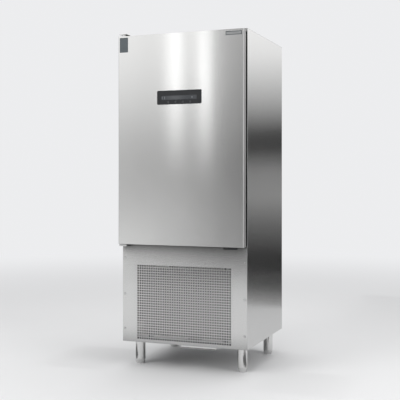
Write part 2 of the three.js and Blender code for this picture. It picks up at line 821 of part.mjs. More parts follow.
function makeCooling() {
  const coolant = [...compressorPlace, 0];
  piece("evaporator_coil", evaporator(), aluminium);
  piece("fan_wall", fanWall(), steel);
  const chamberFans = [["lower", chamberFanHeights[0]], ["upper", chamberFanHeights[1]]];
  for (const [name, height] of chamberFans) {
    piece(`fan_motor_${name}`, chamberMotor(), blackPaint, [0, chamberFanY, height]);
    piece(`chamber_fan_${name}`, fan(chamberFanRadius), blackPlastic, [0, chamberFanY, height]);
  }
  piece("condenser_coil", condenser(), aluminium);
  const condenserFanPlace = [0, front + condenserFanSetback + fanDepth / 2, condenserFanHeight];
  piece("condenser_fan_motor", condenserMotor(), blackPaint, condenserFanPlace);
  piece("condenser_fan", fan(condenserFanRadius), blackPlastic, condenserFanPlace);
  piece("compressor", compressor(), blackPaint, coolant);
  piece("liquid_receiver", receiver(), blackPaint, [...receiverPlace, 0]);
  piece("suction_pipe", suctionPipe(), copper);
  piece("discharge_pipe", dischargePipe(), copper);
  piece("electrical_box", electricalBox(), galvanised);
  piece("drain_pipe", drainPipe(), greyPlastic, [...drainPlace, 0]);
  piece("cable_gland", cableGland(), blackPlastic, [...glandPlace, 0]);
}

// ---- Lower front panel --------------------------------------------------------------------

const switchX = [side - switchSideGap - switchWidth, side - switchSideGap];
const switchZ = [panelTop - switchHeight, panelTop];

function ventHoles() {
  const pitchX = ventWidth / ventColumns;
  const pitchZ = ventHeight / ventRows;
  const half = ventOpening / 2;
  const holes = [];
  for (let column = 0; column < ventColumns; column += 1) {
    for (let row = 0; row < ventRows; row += 1) {
      const x = (column + 0.5) * pitchX - ventWidth / 2;
      const z = ventBottom + (row + 0.5) * pitchZ;
      holes.push(block([x - half, x + half], [panelFront - cutMargin, panelFront + sheet + cutMargin],
        [z - half, z + half]));
    }
  }
  return holes;
}

function lowerPanel() {
  const y = [panelFront, front - gap];
  const through = [y[0] - cutMargin, y[1] + cutMargin];
  const pan = cut(block([-side, side], y, [panelBottom, panelTop]), [
    block([sheet - side, side - sheet], [panelFront + sheet, through[1]],
      [panelBottom + sheet, panelTop - sheet])]);
  const screwHoles = panelSides.flatMap(([, sign]) => screwHeights.map((z) =>
    facing(rod(screwRadius + gap, [-sheet * 2, sheet * 2], 12)).translate([sign * screwX, panelFront, z])));
  return cut(pan, [
    join(ventHoles()),
    ...screwHoles,
    block([-side - cutMargin, hingeNotchWidth - side], through,
      [panelTop - hingeNotchDepth, panelTop + cutMargin]),
    block([switchX[0] - switchClearance, switchX[1] + switchClearance], through,
      [switchZ[0] - switchClearance, panelTop + cutMargin]),
  ]);
}

function screw() {
  const top = gap + screwHeadHeight;
  return facing(turned([[0, -screwLength], [screwRadius, -screwLength], [screwRadius, gap],
    [screwHeadRadius, gap], [screwHeadRadius, gap + screwHeadEdge], [screwHeadFlat, top], [0, top]], 16));
}

// A housing in the panel's top edge, on a tab that rises to the front frame behind it.
function doorSwitch() {
  const housing = block(switchX, [panelFront, front - gap], switchZ);
  const tab = block(switchX, [front - gap - overlap, front + switchTabDepth],
    [switchZ[0], chamberBottom - gap]);
  return housing.add(tab);
}

function makeLowerPanel() {
  piece("lower_front_panel", lowerPanel(), steel);
  for (const [name, sign] of panelSides) {
    screwHeights.forEach((z, i) => {
      piece(`panel_screw_${name}_${i + 1}`, screw(), brightSteel, [sign * screwX, panelFront, z]);
    });
  }
  piece("door_switch", doorSwitch(), blackPlastic);
}

// ---- Legs and drip tray -------------------------------------------------------------------

function leg() {
  const bottom = footHeight + gap;
  const top = legHeight - gap;
  const bore = spindleRadius + pinClearance;
  return turned([[bore, bottom], [legRadius, bottom], [legRadius, top], [0, top], [0, top - legTopPlate],
    [legRadius - legWall, top - legTopPlate], [legRadius - legWall, bottom + legInsertHeight],
    [bore, bottom + legInsertHeight], [bore, bottom]], 20);
}

function foot() {
  const spindleTop = footHeight + spindleLength;
  return turned([[0, 0], [footBottomRadius, 0], [footTopRadius, footHeight - footLand],
    [footTopRadius, footHeight], [spindleRadius, footHeight], [spindleRadius, spindleTop],
    [0, spindleTop]], 20);
}

function makeLegs() {
  for (const [name, sign] of panelSides) {
    for (const [end, y] of [["front", front + legSetback], ["rear", back - legSetback]]) {
      const place = [sign * (side - legInset), y, 0];
      piece(`leg_${end}_${name}`, leg(), brightSteel, place);
      piece(`foot_${end}_${name}`, foot(), brightSteel, place);
    }
  }
}

const trayX = [trayMiddle - trayWidth / 2, trayMiddle + trayWidth / 2];
const trayTop = legHeight - trayTopGap;
const trayFloor = trayTop - trayDepth;
const trayY = [front + traySetback, front + traySetback + trayLength];

function dripTray() {
  const tray = cut(block(trayX, trayY, [trayFloor, trayTop]), [
    block([trayX[0] + traySheet, trayX[1] - traySheet], [trayY[0] + traySheet, trayY[1] - traySheet],
      [trayFloor + traySheet, trayTop + cutMargin])]);
  const rims = [[trayX[0] - trayRim, trayX[0] + overlap], [trayX[1] - overlap, trayX[1] + trayRim]].map((x) =>
    block(x, [trayY[0] + trayRimInset, trayY[1] - trayRimInset], [trayTop - traySheet, trayTop]));
  const pull = block([trayX[0] + trayRimInset, trayX[1] - trayRimInset],
    [trayY[0] - trayPull, trayY[0] + overlap], [trayFloor, trayFloor + traySheet]);
  return join([tray, ...rims, pull]);
}

function trayGuide() {
  const reach = trayRim + guideSideGap;
  const top = legHeight - gap;
  const lipBottom = trayTop - traySheet - gap - traySheet;
  const half = trayWidth / 2 + reach;
  const lip = reach - gap - guideLipGap;
  const line = [[lip - half, lipBottom], [-half, lipBottom], [-half, top], [half, top], [half, lipBottom],
    [half - lip, lipBottom]];
  const start = trayY[0] + trayRimInset;
  const channel = extrudeY(folded(line, -traySheet), [start, trayY[1]]).translate([trayMiddle, 0, 0]);
  const tabX = [trayMiddle - half - guideTab, trayMiddle - half + overlap];
  const tab = block(tabX, [start, start + traySheet], [top - guideTabHeight, top]);
  const flange = block(tabX, [start, start + guideFlange], [top - traySheet, top]);
  const drainHole = rod(drainRadius + holeClearance, [trayTop, legHeight], 16).translate([...drainPlace, 0]);
  return cut(join([channel, tab, flange]), [drainHole]);
}

function makeTray() {
  piece("tray_guide", trayGuide(), galvanised);
  piece("drip_tray", dripTray(), steel);
}

// ---- Door ---------------------------------------------------------------------------------

// The door's plan: a rectangle with its two front corners bent to a radius.
function doorPlan(inset, backY) {
  const x = side - inset;
  const y = doorFace + inset;
  const r = doorBend - inset;
  const shape = new THREE.Shape();
  shape.moveTo(x, backY);
  shape.lineTo(-x, backY);
  shape.absarc(-x + r, y + r, r, Math.PI, Math.PI * 1.5);
  shape.absarc(x - r, y + r, r, Math.PI * 1.5, Math.PI * 2);
  return shape;
}

const pinHole = (z) => rod(pinRadius + pinClearance, z, 16).translate([pivotX, pivotY, 0]);
const bezelX = [-bezelWidth / 2, bezelWidth / 2];
const bezelZ = [bezelMiddle - bezelHeight / 2, bezelMiddle + bezelHeight / 2];
const panelCutout = (grow, y) => block(
  [bezelX[0] + bezelOverhang - grow, bezelX[1] - bezelOverhang + grow], y,
  [bezelZ[0] + bezelOverhang - grow, bezelZ[1] - bezelOverhang + grow]);

function doorSkin() {
  const betweenLips = block([doorBackLip - side, side - doorGripLip],
    [doorPanBack - doorSheet - cutMargin, doorPanBack + cutMargin],
    [doorBottom + doorBackLip, doorTop - doorBackLip]);
  return cut(extrudeZ(doorPlan(0, doorPanBack), [doorBottom, doorTop]), [
    extrudeZ(doorPlan(doorSheet, doorPanBack - doorSheet), [doorBottom + doorSheet, doorTop - doorSheet]),
    betweenLips,
    panelCutout(gap, [doorFace - cutMargin, doorFace + doorSheet + cutMargin]),
    pinHole([doorBottom - cutMargin, doorBottom + doorSheet + cutMargin]),
    pinHole([doorTop - doorSheet - cutMargin, doorTop + cutMargin]),
  ]);
}

// A rectangle inset from the door's edges; the free edge may have an inset of its own.
function doorRect(inset, freeInset = inset) {
  return [[inset - side, side - freeInset], [doorBottom + inset, doorTop - inset]];
}

function rectRing(outer, inner, y) {
  const [x, z] = outer;
  return cut(block(x, y, z), [block(inner[0], [y[0] - cutMargin, y[1] + cutMargin], inner[1])]);
}

const profileBack = front - gasketDepth;
const coreInset = profileInset + profileBand;

function doorProfile() {
  const outer = doorRect(profileInset, profileGripInset);
  return rectRing(outer, doorRect(coreInset), [doorPanBack + gap, profileBack]);
}

function doorLiner() {
  const [x, z] = doorRect(coreInset + gap);
  const start = profileBack - innerPanDepth;
  return cut(block(x, [start, profileBack], z), [
    block([x[0] + doorSheet, x[1] - doorSheet], [start - cutMargin, profileBack - doorSheet],
      [z[0] + doorSheet, z[1] - doorSheet])]);
}

function doorFoam() {
  const slab = extrudeZ(doorPlan(doorSheet + gap, doorPanBack - doorSheet - gap),
    [doorBottom + doorSheet + gap, doorTop - doorSheet - gap]);
  const [x, z] = doorRect(coreInset + gap + doorSheet + gap);
  const core = block(x, [doorPanBack - doorSheet - gap - cutMargin, profileBack - doorSheet - gap], z);
  const skinBack = doorFace + doorSheet;
  return cut(slab.add(core), [
    panelCutout(gap, [skinBack, doorFace - bezelProud + bezelDepth + gap]),
    pinHole([doorBottom, doorBottom + pinReach + cutMargin]),
    pinHole([doorTop - pinReach - cutMargin, doorTop]),
  ]);
}

function doorGasket() {
  const y = [profileBack + gap, front - gap];
  return rectRing(doorRect(gasketInset), doorRect(gasketInset + gasketWidth), y);
}

const keyX = (i) => (i - (keyCount - 1) / 2) * keyPitch;
const keyZ = bezelMiddle - keyDrop;
const bezelFront = doorFace - bezelProud;

function controlBezel() {
  const plate = extrudeY(rounded(bezelX, bezelZ, bezelCorner), [bezelFront, doorFace - gap]);
  const housing = panelCutout(0, [doorFace - gap - overlap, bezelFront + bezelDepth]);
  const w = windowWidth / 2 + gap;
  const h = windowHeight / 2 + gap;
  const windowMiddle = bezelMiddle + windowRise;
  const pockets = Array.from({ length: keyCount }, (_, i) =>
    facing(rod(keyRadius + keyClearance, [-(keyThickness + keyTravel + keyBottomGap), cutMargin], 16))
      .translate([keyX(i), bezelFront, keyZ]));
  return cut(plate.add(housing), [
    block([-w, w], [bezelFront - cutMargin, bezelFront + windowDepth + gap],
      [windowMiddle - h, windowMiddle + h]),
    ...pockets,
  ]);
}

function displayWindow() {
  const middle = bezelMiddle + windowRise;
  return block([-windowWidth / 2, windowWidth / 2], [bezelFront, bezelFront + windowDepth],
    [middle - windowHeight / 2, middle + windowHeight / 2]);
}

function key() {
  const r = keyRadius;
  const profile = [[0, -keyThickness], [r, -keyThickness], [r, -keyBevel], [r - keyBevel, 0], [0, 0]];
  return facing(turned(profile, 16));
}

function makeDoor() {
  piece("door_skin", doorSkin(), steel);
  piece("door_profile", doorProfile(), blackPlastic);
  piece("door_liner", doorLiner(), steel);
  piece("door_foam", doorFoam(), foam);
  piece("door_gasket", doorGasket(), rubber);
  piece("control_bezel", controlBezel(), blackGloss);
  piece("display_window", displayWindow(), displayGlass);
  for (let i = 0; i < keyCount; i += 1) piece(`key_${i + 1}`, key(), keyPlastic, [keyX(i), bezelFront, keyZ]);
}

// ---- Hinge --------------------------------------------------------------------------------

const bracketX = [-side, bracketWidth - side];
const boltHole = (z) => rod(pinRadius + gap, z, 16).translate([pivotX, pivotY, 0]);

function topBracket() {
  const z = [bodyTop + gap, bodyTop + gap + topBracketSheet];
  const plate = block(bracketX, [front - bracketReach, front + topBracketHold], z);
  return cut(plate, [boltHole([z[0] - cutMargin, z[1] + cutMargin])]);
}

function bottomBracket() {
  const plateBottom = bracketTop - bottomBracketPlate;
  const plate = block(bracketX, [front - bracketReach, front - gap], [plateBottom, bracketTop]);
  const flange = block([bracketX[0] + sheet + gap, bracketX[1]],
    [front - gap - bottomBracketFlange, front - gap], [bracketTop - bottomBracketDrop, bracketTop]);
  return cut(plate.add(flange), [boltHole([plateBottom - cutMargin, bracketTop + cutMargin])]);
}

function topPin() {
  const start = doorTop - pinReach;
  const end = bodyTop + gap + topBracketSheet;
  return turned([[0, start], [pinRadius, start], [pinRadius, doorTop + gap], [shoulderRadius, doorTop + gap],
    [shoulderRadius, bodyTop], [pinRadius, bodyTop], [pinRadius, end], [0, end]], 16);
}

function bottomPin() {
  const start = bracketTop - bottomBracketPlate;
  const end = doorBottom + pinReach;
  return turned([[0, start], [pinRadius, start], [pinRadius, bracketTop + gap],
    [shoulderRadius, bracketTop + gap], [shoulderRadius, doorBottom - gap], [pinRadius, doorBottom - gap],
    [pinRadius, end], [0, end]], 16);
}

function makeHinge() {
  piece("top_hinge_bracket", topBracket(), brightSteel);
  piece("bottom_hinge_bracket", bottomBracket(), brightSteel);
  piece("top_hinge_pin", topPin(), brightSteel, [pivotX, pivotY, 0]);
  piece("bottom_hinge_pin", bottomPin(), brightSteel, [pivotX, pivotY, 0]);
}

makeCasing();
makeChamber();
makeCooling();
makeLowerPanel();
makeLegs();
makeTray();
makeDoor();
makeHinge();

export default chiller;
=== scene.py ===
"""An upright blast chiller: its shaped pieces and finishes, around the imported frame."""

import json
import math

import bmesh
import bpy
from bpy.props import FloatProperty, FloatVectorProperty, IntProperty, PointerProperty
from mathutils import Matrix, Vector


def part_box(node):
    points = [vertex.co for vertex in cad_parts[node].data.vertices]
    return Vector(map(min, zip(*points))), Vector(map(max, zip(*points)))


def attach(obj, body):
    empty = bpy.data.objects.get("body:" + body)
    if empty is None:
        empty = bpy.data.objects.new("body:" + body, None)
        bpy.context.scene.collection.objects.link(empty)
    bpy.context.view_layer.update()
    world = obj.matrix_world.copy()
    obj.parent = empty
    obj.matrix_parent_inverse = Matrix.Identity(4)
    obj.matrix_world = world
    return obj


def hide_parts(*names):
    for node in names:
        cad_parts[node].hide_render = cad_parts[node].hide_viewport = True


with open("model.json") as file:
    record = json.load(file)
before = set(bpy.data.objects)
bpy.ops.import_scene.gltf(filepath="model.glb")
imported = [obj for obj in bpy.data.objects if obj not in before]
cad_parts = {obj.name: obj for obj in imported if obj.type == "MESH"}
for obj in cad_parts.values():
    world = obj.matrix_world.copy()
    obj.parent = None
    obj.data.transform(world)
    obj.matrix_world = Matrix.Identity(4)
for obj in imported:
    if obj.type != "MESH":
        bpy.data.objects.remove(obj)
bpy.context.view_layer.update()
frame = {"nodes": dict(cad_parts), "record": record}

bl_info = {
    "name": "Blast Chiller",
    "version": (1, 0, 0),
    "blender": (4, 5, 0),
    "location": "View3D > Sidebar > Chiller",
    "description": "Shapes and finishes the pieces of an upright blast chiller",
    "category": "Object",
}

MM = 0.001
PLACE_SLACK = 2e-5  # how far a point may lie from where it is looked for
PIN_PLACE = (-0.37, -0.37775)  # X and Y of the door's pins
AIR = 0.66  # light from all round
BACKDROP = 0.86  # brightness of the backdrop
BACKDROP_TINT = (0.98, 0.985, 1.0)


# ---- Sizes and finishes that a user would change -------------------------------------------


def length(label, about, default):
    return FloatProperty(name=label, description=about, default=default, min=0.0,
                         unit="LENGTH", subtype="DISTANCE")


def colour(label, about, default):
    return FloatVectorProperty(name=label, description=about, default=default, size=3,
                               min=0.0, max=1.0, subtype="COLOR")


class ChillerSizes(bpy.types.PropertyGroup):
    """Sizes of the shaped pieces."""

    sheet: length("Sheet", "Thickness of the cabinet's steel sheet", 1.2 * MM)
    bend: length("Sheet bend", "Outside radius of the cabinet's folded edges", 2.0 * MM)
    door_sheet: length("Door sheet", "Thickness of the door's steel sheet", 1.0 * MM)
    door_bend: length("Door bend", "Outside radius of the door's upright front bends", 5.0 * MM)
    door_lip: length("Door lip", "Width of the lips on the back of the door's outer pan", 8.0 * MM)
    grip_lip: length("Grip lip", "Width of the back lip along the free edge", 24.0 * MM)
    profile_band: length("Profile band", "Width of the plastic profile round the door", 53.0 * MM)
    vent_pitch: length("Vent pitch", "Distance from one square hole to the next", 15.0 * MM)
    vent_hole: length("Vent hole", "Width of a square hole of the lower panel", 10.0 * MM)
    vent_middle: length("Vent middle", "Height of the middle of the perforated field", 394.0 * MM)
    cove: length("Chamber cove", "Radius of the chamber's long corners", 20.0 * MM)
    fin_pitch: length("Fin pitch", "Distance between two fins of a coil", 6.0 * MM)


class ChillerCounts(bpy.types.PropertyGroup):
    """Numbers of repeated shapes."""

    vent_columns: IntProperty(name="Vent columns", description="Square holes in a row", default=40, min=1)
    vent_rows: IntProperty(name="Vent rows", description="Rows of square holes", default=30, min=1)
    levels: IntProperty(name="Tray levels", description="Runners in each rack", default=15, min=1)


class ChillerColours(bpy.types.PropertyGroup):
    """Colours of the finishes."""

    steel: colour("Steel", "Brushed steel of the casing and the door", (0.63, 0.63, 0.625))
    bright: colour("Bright steel", "Legs, brackets and racks", (0.70, 0.70, 0.695))
    galvanised: colour("Galvanised sheet", "Back and underside", (0.50, 0.515, 0.52))
    plastic: colour("Black plastic", "Door profile, fans and switch", (0.018, 0.019, 0.021))
    frame_plastic: colour("Frame plastic", "Thermal break round the chamber's mouth", (0.22, 0.225, 0.23))
    gasket: colour("Gasket", "Door gasket", (0.03, 0.031, 0.033))
    foam: colour("Foam", "Insulation", (0.72, 0.60, 0.30))
    panel: colour("Control panel", "Glossy front of the control panel", (0.012, 0.013, 0.015))
    plate: colour("Plate", "Enamelled plate at the door's corner", (0.035, 0.05, 0.058))
    floor: colour("Floor", "Studio floor", (0.75, 0.75, 0.75))


# ---- Modelling ----------------------------------------------------------------------------


def near(value, *places):
    return any(abs(value - place) < PLACE_SLACK for place in places)


def at(**places):
    """A test for points that lie at these coordinates; a pair names two that will do."""
    pairs = {axis: place if isinstance(place, tuple) else (place,) for axis, place in places.items()}
    return lambda p: all(near(getattr(p, axis), *pair) for axis, pair in pairs.items())


def activate(obj):
    """Selects one object alone."""
    bpy.ops.object.select_all(action="DESELECT")
    obj.select_set(True)
    bpy.context.view_layer.objects.active = obj


def newest(name):
    """Names the primitive that was just added and moves its place into its mesh."""
    obj = bpy.context.active_object
    obj.name = obj.data.name = name
    bpy.ops.object.transform_apply(location=True, rotation=True, scale=True)
    return obj


def block(name, low, high):
    """A block between two corners."""
    low, high = Vector(low), Vector(high)
    bpy.ops.mesh.primitive_cube_add(size=1, location=(low + high) / 2, scale=high - low)
    return newest(name)


TURNS = {"x": (0, math.pi / 2, 0), "y": (math.pi / 2, 0, 0), "z": (0, 0, 0)}


def round_bar(name, middle, radius, depth, axis="z", sides=48):
    """A round bar about one of the axes."""
    bpy.ops.mesh.primitive_cylinder_add(vertices=sides, radius=radius, depth=depth, location=middle,
                                        rotation=TURNS[axis])
    return newest(name)


class Bench:
    """One object in edit mode, with what is shaped picked by its place or its facing."""

    def __init__(self, obj):
        self.obj = obj

    def __enter__(self):
        activate(self.obj)
        bpy.ops.object.mode_set(mode="EDIT")
        return self

    def __exit__(self, *problem):
        bpy.ops.object.mode_set(mode="OBJECT")

    def pick(self, kind, test):
        bpy.ops.mesh.select_mode(type=kind)
        bpy.ops.mesh.select_all(action="DESELECT")
        mesh = bmesh.from_edit_mesh(self.obj.data)
        mesh.normal_update()
        found = [part for part in getattr(mesh, kind.lower() + "s") if test(part)]
        if not found:
            raise RuntimeError(f"{self.obj.name}: nothing lies where the next step works")
        for part in found:
            part.select_set(True)
        mesh.select_flush_mode()
        bmesh.update_edit_mesh(self.obj.data)
        return self

    def all(self):
        bpy.ops.mesh.select_all(action="SELECT")
        return self

    def faces(self, where=None, facing=None):
        aim = None
        if facing:
            aim = Vector([float(facing[1] == axis) for axis in "xyz"]) * (1 if facing[0] == "+" else -1)
        return self.pick("FACE", lambda face: (aim is None or face.normal.dot(aim) > 0.9) and (
            where is None or where(face.calc_center_median())))

    def edges(self, where=None, along=None):
        def fits(edge):
            a, b = (corner.co for corner in edge.verts)
            step = (b - a).normalized()
            return (where is None or where(a) and where(b)) and (
                along is None or abs(step["xyz".index(along)]) > 0.99)
        return self.pick("EDGE", fits)

    def rims(self, where=None):
        return self.pick("EDGE", lambda edge: edge.is_boundary and (
            where is None or all(where(corner.co) for corner in edge.verts)))

    def verts(self, where):
        return self.pick("VERT", lambda corner: where(corner.co))

    def slice(self, axis, value):
        """Cuts the whole mesh along a plane, and keeps both sides."""
        self.all()
        unit = Vector([float(axis == name) for name in "xyz"])
        bpy.ops.mesh.bisect(plane_co=unit * value, plane_no=unit)
        return self

    def inset(self, thickness, depth=0.0):
        bpy.ops.mesh.inset(thickness=thickness, depth=depth, use_even_offset=True)
        return self

    def extrude(self, step):
        bpy.ops.mesh.extrude_region_move(TRANSFORM_OT_translate={"value": step})
        return self

    def move(self, step):
        bpy.ops.transform.translate(value=step)
        return self

    def scale(self, factors, about):
        bpy.ops.transform.resize(value=factors, center_override=about)
        return self

    def turn(self, angle, axis, about):
        bpy.ops.transform.rotate(value=angle, orient_axis=axis, center_override=about)
        return self

    def bevel(self, width, segments=3):
        bpy.ops.mesh.bevel(offset=width, segments=segments, affect="EDGES", clamp_overlap=True)
        return self

    def bridge(self):
        bpy.ops.mesh.bridge_edge_loops()
        return self

    def delete(self, kind="FACE"):
        bpy.ops.mesh.delete(type=kind)
        return self

    def merge(self):
        self.all()
        bpy.ops.mesh.remove_doubles(threshold=PLACE_SLACK)
        return self

    def face_out(self):
        self.all()
        bpy.ops.mesh.normals_make_consistent(inside=False)
        return self


def apply(obj, kind, **settings):
    """Adds a modifier with its settings and applies it."""
    modifier = obj.modifiers.new(kind.lower(), kind)
    for name, value in settings.items():
        setattr(modifier, name, value)
    activate(obj)
    bpy.ops.object.modifier_apply(modifier=modifier.name)
    return obj


def repeated(obj, count, step):
    """Repeats a mesh at even steps."""
    return apply(obj, "ARRAY", count=count, use_relative_offset=False, use_constant_offset=True,
                 constant_offset_displace=step)


def thicken(obj, sheet, offset=-1.0):
    return apply(obj, "SOLIDIFY", thickness=sheet, offset=offset, use_even_offset=True,
                 use_quality_normals=True)


def cut_out(obj, *cutters):
    """Takes the cutters' shapes out of an object, and removes the cutters."""
    for cutter in cutters:
        apply(obj, "BOOLEAN", operation="DIFFERENCE", solver="EXACT", object=cutter)
        bpy.data.objects.remove(cutter, do_unlink=True)
    return obj


def ease(obj, width, segments=2, angle=32):
    """Rounds every sharp edge a little."""
    return apply(obj, "BEVEL", width=width, segments=segments, limit_method="ANGLE",
                 angle_limit=math.radians(angle), use_clamp_overlap=True, miter_outer="MITER_ARC")


def smooth(obj, angle=38):
    """Smooth shading that leaves flat faces flat."""
    activate(obj)
    bpy.ops.object.shade_smooth_by_angle(angle=math.radians(angle))
    return apply(obj, "WEIGHTED_NORMAL", mode="FACE_AREA", weight=50, keep_sharp=True)


def twin(obj, name):
    """A copy with a mesh of its own."""
    other = obj.copy()
    other.data = obj.data.copy()
    other.name = other.data.name = name
    bpy.context.scene.collection.objects.link(other)
    return other


def shifted(obj, step):
    """Moves a piece by moving its mesh."""
    with Bench(obj) as bench:
        bench.all().move(step)
    return obj


def copied(shape, step, name, slot, node, body="cabinet"):
    """A copy of a smoothed shape, moved to its node's place and fitted."""
    return fit(shifted(twin(shape, name), step), slot, node, body=body, angle=None)


def mirrored(obj, name):
    """A copy on the other side of the machine's middle."""
    other = twin(obj, name)
    with Bench(other) as bench:
        bench.all().scale((-1, 1, 1), (0, 0, 0)).face_out()
    return other


def joined(name, *parts):
    """Several meshes as one object."""
    bpy.ops.object.select_all(action="DESELECT")
    for part in parts:
        part.select_set(True)
    bpy.context.view_layer.objects.active = parts[0]
    bpy.ops.object.join()
    parts[0].name = parts[0].data.name = name
    return parts[0]


def traced(name, node):
    """A merged copy of a node's mesh, with its flat faces whole again."""
    obj = bpy.data.objects.new(name, frame["nodes"][node].data.copy())
    obj.data.name = name
    bpy.context.scene.collection.objects.link(obj)
    with Bench(obj) as bench:
        bench.merge()
        bpy.ops.mesh.customdata_custom_splitnormals_clear()
        bpy.ops.mesh.dissolve_limited(angle_limit=math.radians(0.5))
    return obj


def ring_block(name, low, high, hole_low, hole_high):
    """A block with a rectangular way through it along Y."""
    obj = block(name, low, high)
    with Bench(obj) as bench:
        for x, z in (hole_low, hole_high):
            bench.slice("x", x).slice("z", z)
        inside = lambda p: hole_low[0] < p.x < hole_high[0] and hole_low[1] < p.z < hole_high[1]
        bench.faces(inside).delete()
        bench.rims().bridge()
    return obj


def fit(obj, slot, *nodes, body="cabinet", finish=None, angle=38):
    """Shades a finished piece, gives it the finish of its slot, hides the nodes that it stands for, and
    hangs it on its body.
    """
    if angle:
        smooth(obj, angle)
    obj.data.materials.clear()
    obj.data.materials.append(finishes[finish] if finish else slot_finish(slot))
    if nodes:
        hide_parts(*nodes)
    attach(obj, body)
    return obj


def corners(node):
    low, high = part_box(node)
    return Vector(low), Vector(high)


# ---- Materials ----------------------------------------------------------------------------


def arithmetic(operation):
    """The two methods, plain and reflected, that add one kind of Math node."""
    def plain(self, other):
        return self.paint.node("Math", self, other, operation=operation)

    def reflected(self, other):
        return self.paint.node("Math", other, self, operation=operation)

    return plain, reflected


class Socket:
    """A node's output that takes part in Python arithmetic."""

    def __init__(self, paint, output):
        self.paint, self.output = paint, output

    __add__, __radd__ = arithmetic("ADD")
    __sub__, __rsub__ = arithmetic("SUBTRACT")
    __mul__, __rmul__ = arithmetic("MULTIPLY")
    __truediv__, __rtruediv__ = arithmetic("DIVIDE")
    __pow__, __rpow__ = arithmetic("POWER")


class Paint:
    """A node tree that is built node by node."""

    def __init__(self, tree):
        self.tree = tree
        tree.nodes.clear()

    def feed(self, socket, value):
        if isinstance(value, Socket):
            self.tree.links.new(value.output, socket)
        else:
            socket.default_value = (*value[:3], 1.0) if socket.type == "RGBA" else value

    def node(self, kind, *values, sockets=None, stops=None, out=0, **settings):
        node = self.tree.nodes.new("ShaderNode" + kind)
        for name, value in settings.items():
            setattr(node, name, value)
        if stops:
            ramp = node.color_ramp
            while len(ramp.elements) < len(stops):
                ramp.elements.new(1.0)
            for element, (place, tone) in zip(ramp.elements, stops):
                element.position = place
                element.color = (*((tone,) * 3 if isinstance(tone, float) else tone), 1.0)
        for socket, value in zip(node.inputs, values):
            self.feed(socket, value)
        for name, value in (sockets or {}).items():
            self.feed(node.inputs[name], value)
        return Socket(self, node.outputs[out])

    def place(self):
        return self.node("TexCoord", out=3)

    def axis(self, name):
        return self.node("SeparateXYZ", self.place(), out="xyz".index(name))

    def noise(self, scale, detail=3.0, roughness=0.5):
        """Noise that is finer along the axes with the larger scale, from about 0 to 1."""
        spot = self.node("VectorMath", self.place(), scale, operation="MULTIPLY")
        return self.node("TexNoise", sockets={"Vector": spot, "Scale": 1.0, "Detail": detail,
                                              "Roughness": roughness})

    def mix(self, factor, a, b):
        node = self.tree.nodes.new("ShaderNodeMix")
        node.data_type = "RGBA"
        for index, value in ((0, factor), (6, a), (7, b)):
            self.feed(node.inputs[index], value)
        return Socket(self, node.outputs[2])

    def band(self, value, start, end):
        """0 below the start and 1 above the end, with a soft step between."""
        return self.node("MapRange", value, start, end, 0.0, 1.0, interpolation_type="SMOOTHSTEP")

    def darkened_as_shade(self, colour, reach, power):
        """Darkens a colour where other surfaces stand within reach: painted shade."""
        open_sky = self.node("AmbientOcclusion", sockets={"Distance": reach}, samples=8, out=1)
        return self.mix(open_sky ** power, (0.01, 0.01, 0.01), colour)

    def shader(self, colour, roughness, metallic=0.0, bumps=(), **sockets):
        """The shader, with (height, distance, strength) bumps one over the other."""
        normal = {}
        for height, distance, strength in bumps:
            bump = {"Height": height, "Distance": distance, "Strength": strength, **normal}
            normal = {"Normal": self.node("Bump", sockets=bump)}
        ends = {"Base Color": colour, "Roughness": roughness, "Metallic": metallic, **normal}
        ends.update({name.replace("_", " "): value for name, value in sockets.items()})
        return self.node("BsdfPrincipled", sockets=ends)

    def surface(self, *values, **sockets):
        self.end(self.shader(*values, **sockets))

    def end(self, shader, kind="Material"):
        """Leads a shader to the tree's output."""
        output = self.tree.nodes.new("ShaderNodeOutput" + kind)
        self.tree.links.new(shader.output, output.inputs["Surface"])


finishes = {}


def new_paint(name):
    material = bpy.data.materials.new(name)
    material.use_nodes = True
    finishes[name] = material
    return Paint(material.node_tree)


def slot_finish(slot):
    """The finish of a material slot; the casing's steel is brushed as the sides are."""
    return finishes["side_steel" if slot == "casing_steel" else slot]


def tone(base, factor):
    return tuple(min(1.0, part * factor) for part in base)


def brushed(name, base, roughness, fine, broad, turn, stretch=0.75, wave=0.00025, painted_shade=None,
            ends=0.0):
    """Sheet steel: brush lines, rubbed and smeared areas, and a sheet that is never quite flat.

    In a gap or under an overhang its colour darkens as painted shade, set by how far off what covers it
    counts, and a power.
    """
    paint = new_paint(name)
    lines = paint.noise(fine, detail=4.0, roughness=0.7)
    smears = paint.noise((3.1, 3.1, 2.3), detail=5.0, roughness=0.62)
    waves = paint.noise(broad, detail=1.5, roughness=0.4)
    shade = paint.mix(lines * 0.4 + smears * 0.6, tone(base, 0.96), tone(base, 1.04))
    # Painted shade: the colour darkens where other surfaces stand close.
    if painted_shade:
        shade = paint.darkened_as_shade(shade, *painted_shade)
    gloss = roughness - 0.03 + lines * 0.03 + smears * 0.04
    if ends:
        sideways = paint.node("SeparateXYZ", paint.node("TexCoord", out=1))
        gloss = gloss + (sideways * sideways) ** 8.0 * ends
    paint.surface(shade, gloss, 1.0, [(waves, wave, 1.0), (lines, 0.00001, 0.12)],
                  Anisotropic=stretch, Anisotropic_Rotation=turn)


def satin(name, base, roughness, metallic=1.0, spots=60.0, depth=0.00003, painted_shade=None):
    """Rolled or cast metal with a fine even grain."""
    paint = new_paint(name)
    grain = paint.noise((spots * 9,) * 3, detail=3.0, roughness=0.6)
    cloud = paint.noise((spots / 9,) * 3, detail=4.0, roughness=0.6)
    shade = paint.mix(grain * 0.35 + cloud * 0.65, tone(base, 0.9), tone(base, 1.08))
    # Painted shade: the colour darkens where other surfaces stand close.
    if painted_shade:
        shade = paint.darkened_as_shade(shade, *painted_shade)
    paint.surface(shade, roughness - 0.04 + cloud * 0.08, metallic, [(grain, depth, 0.4)])


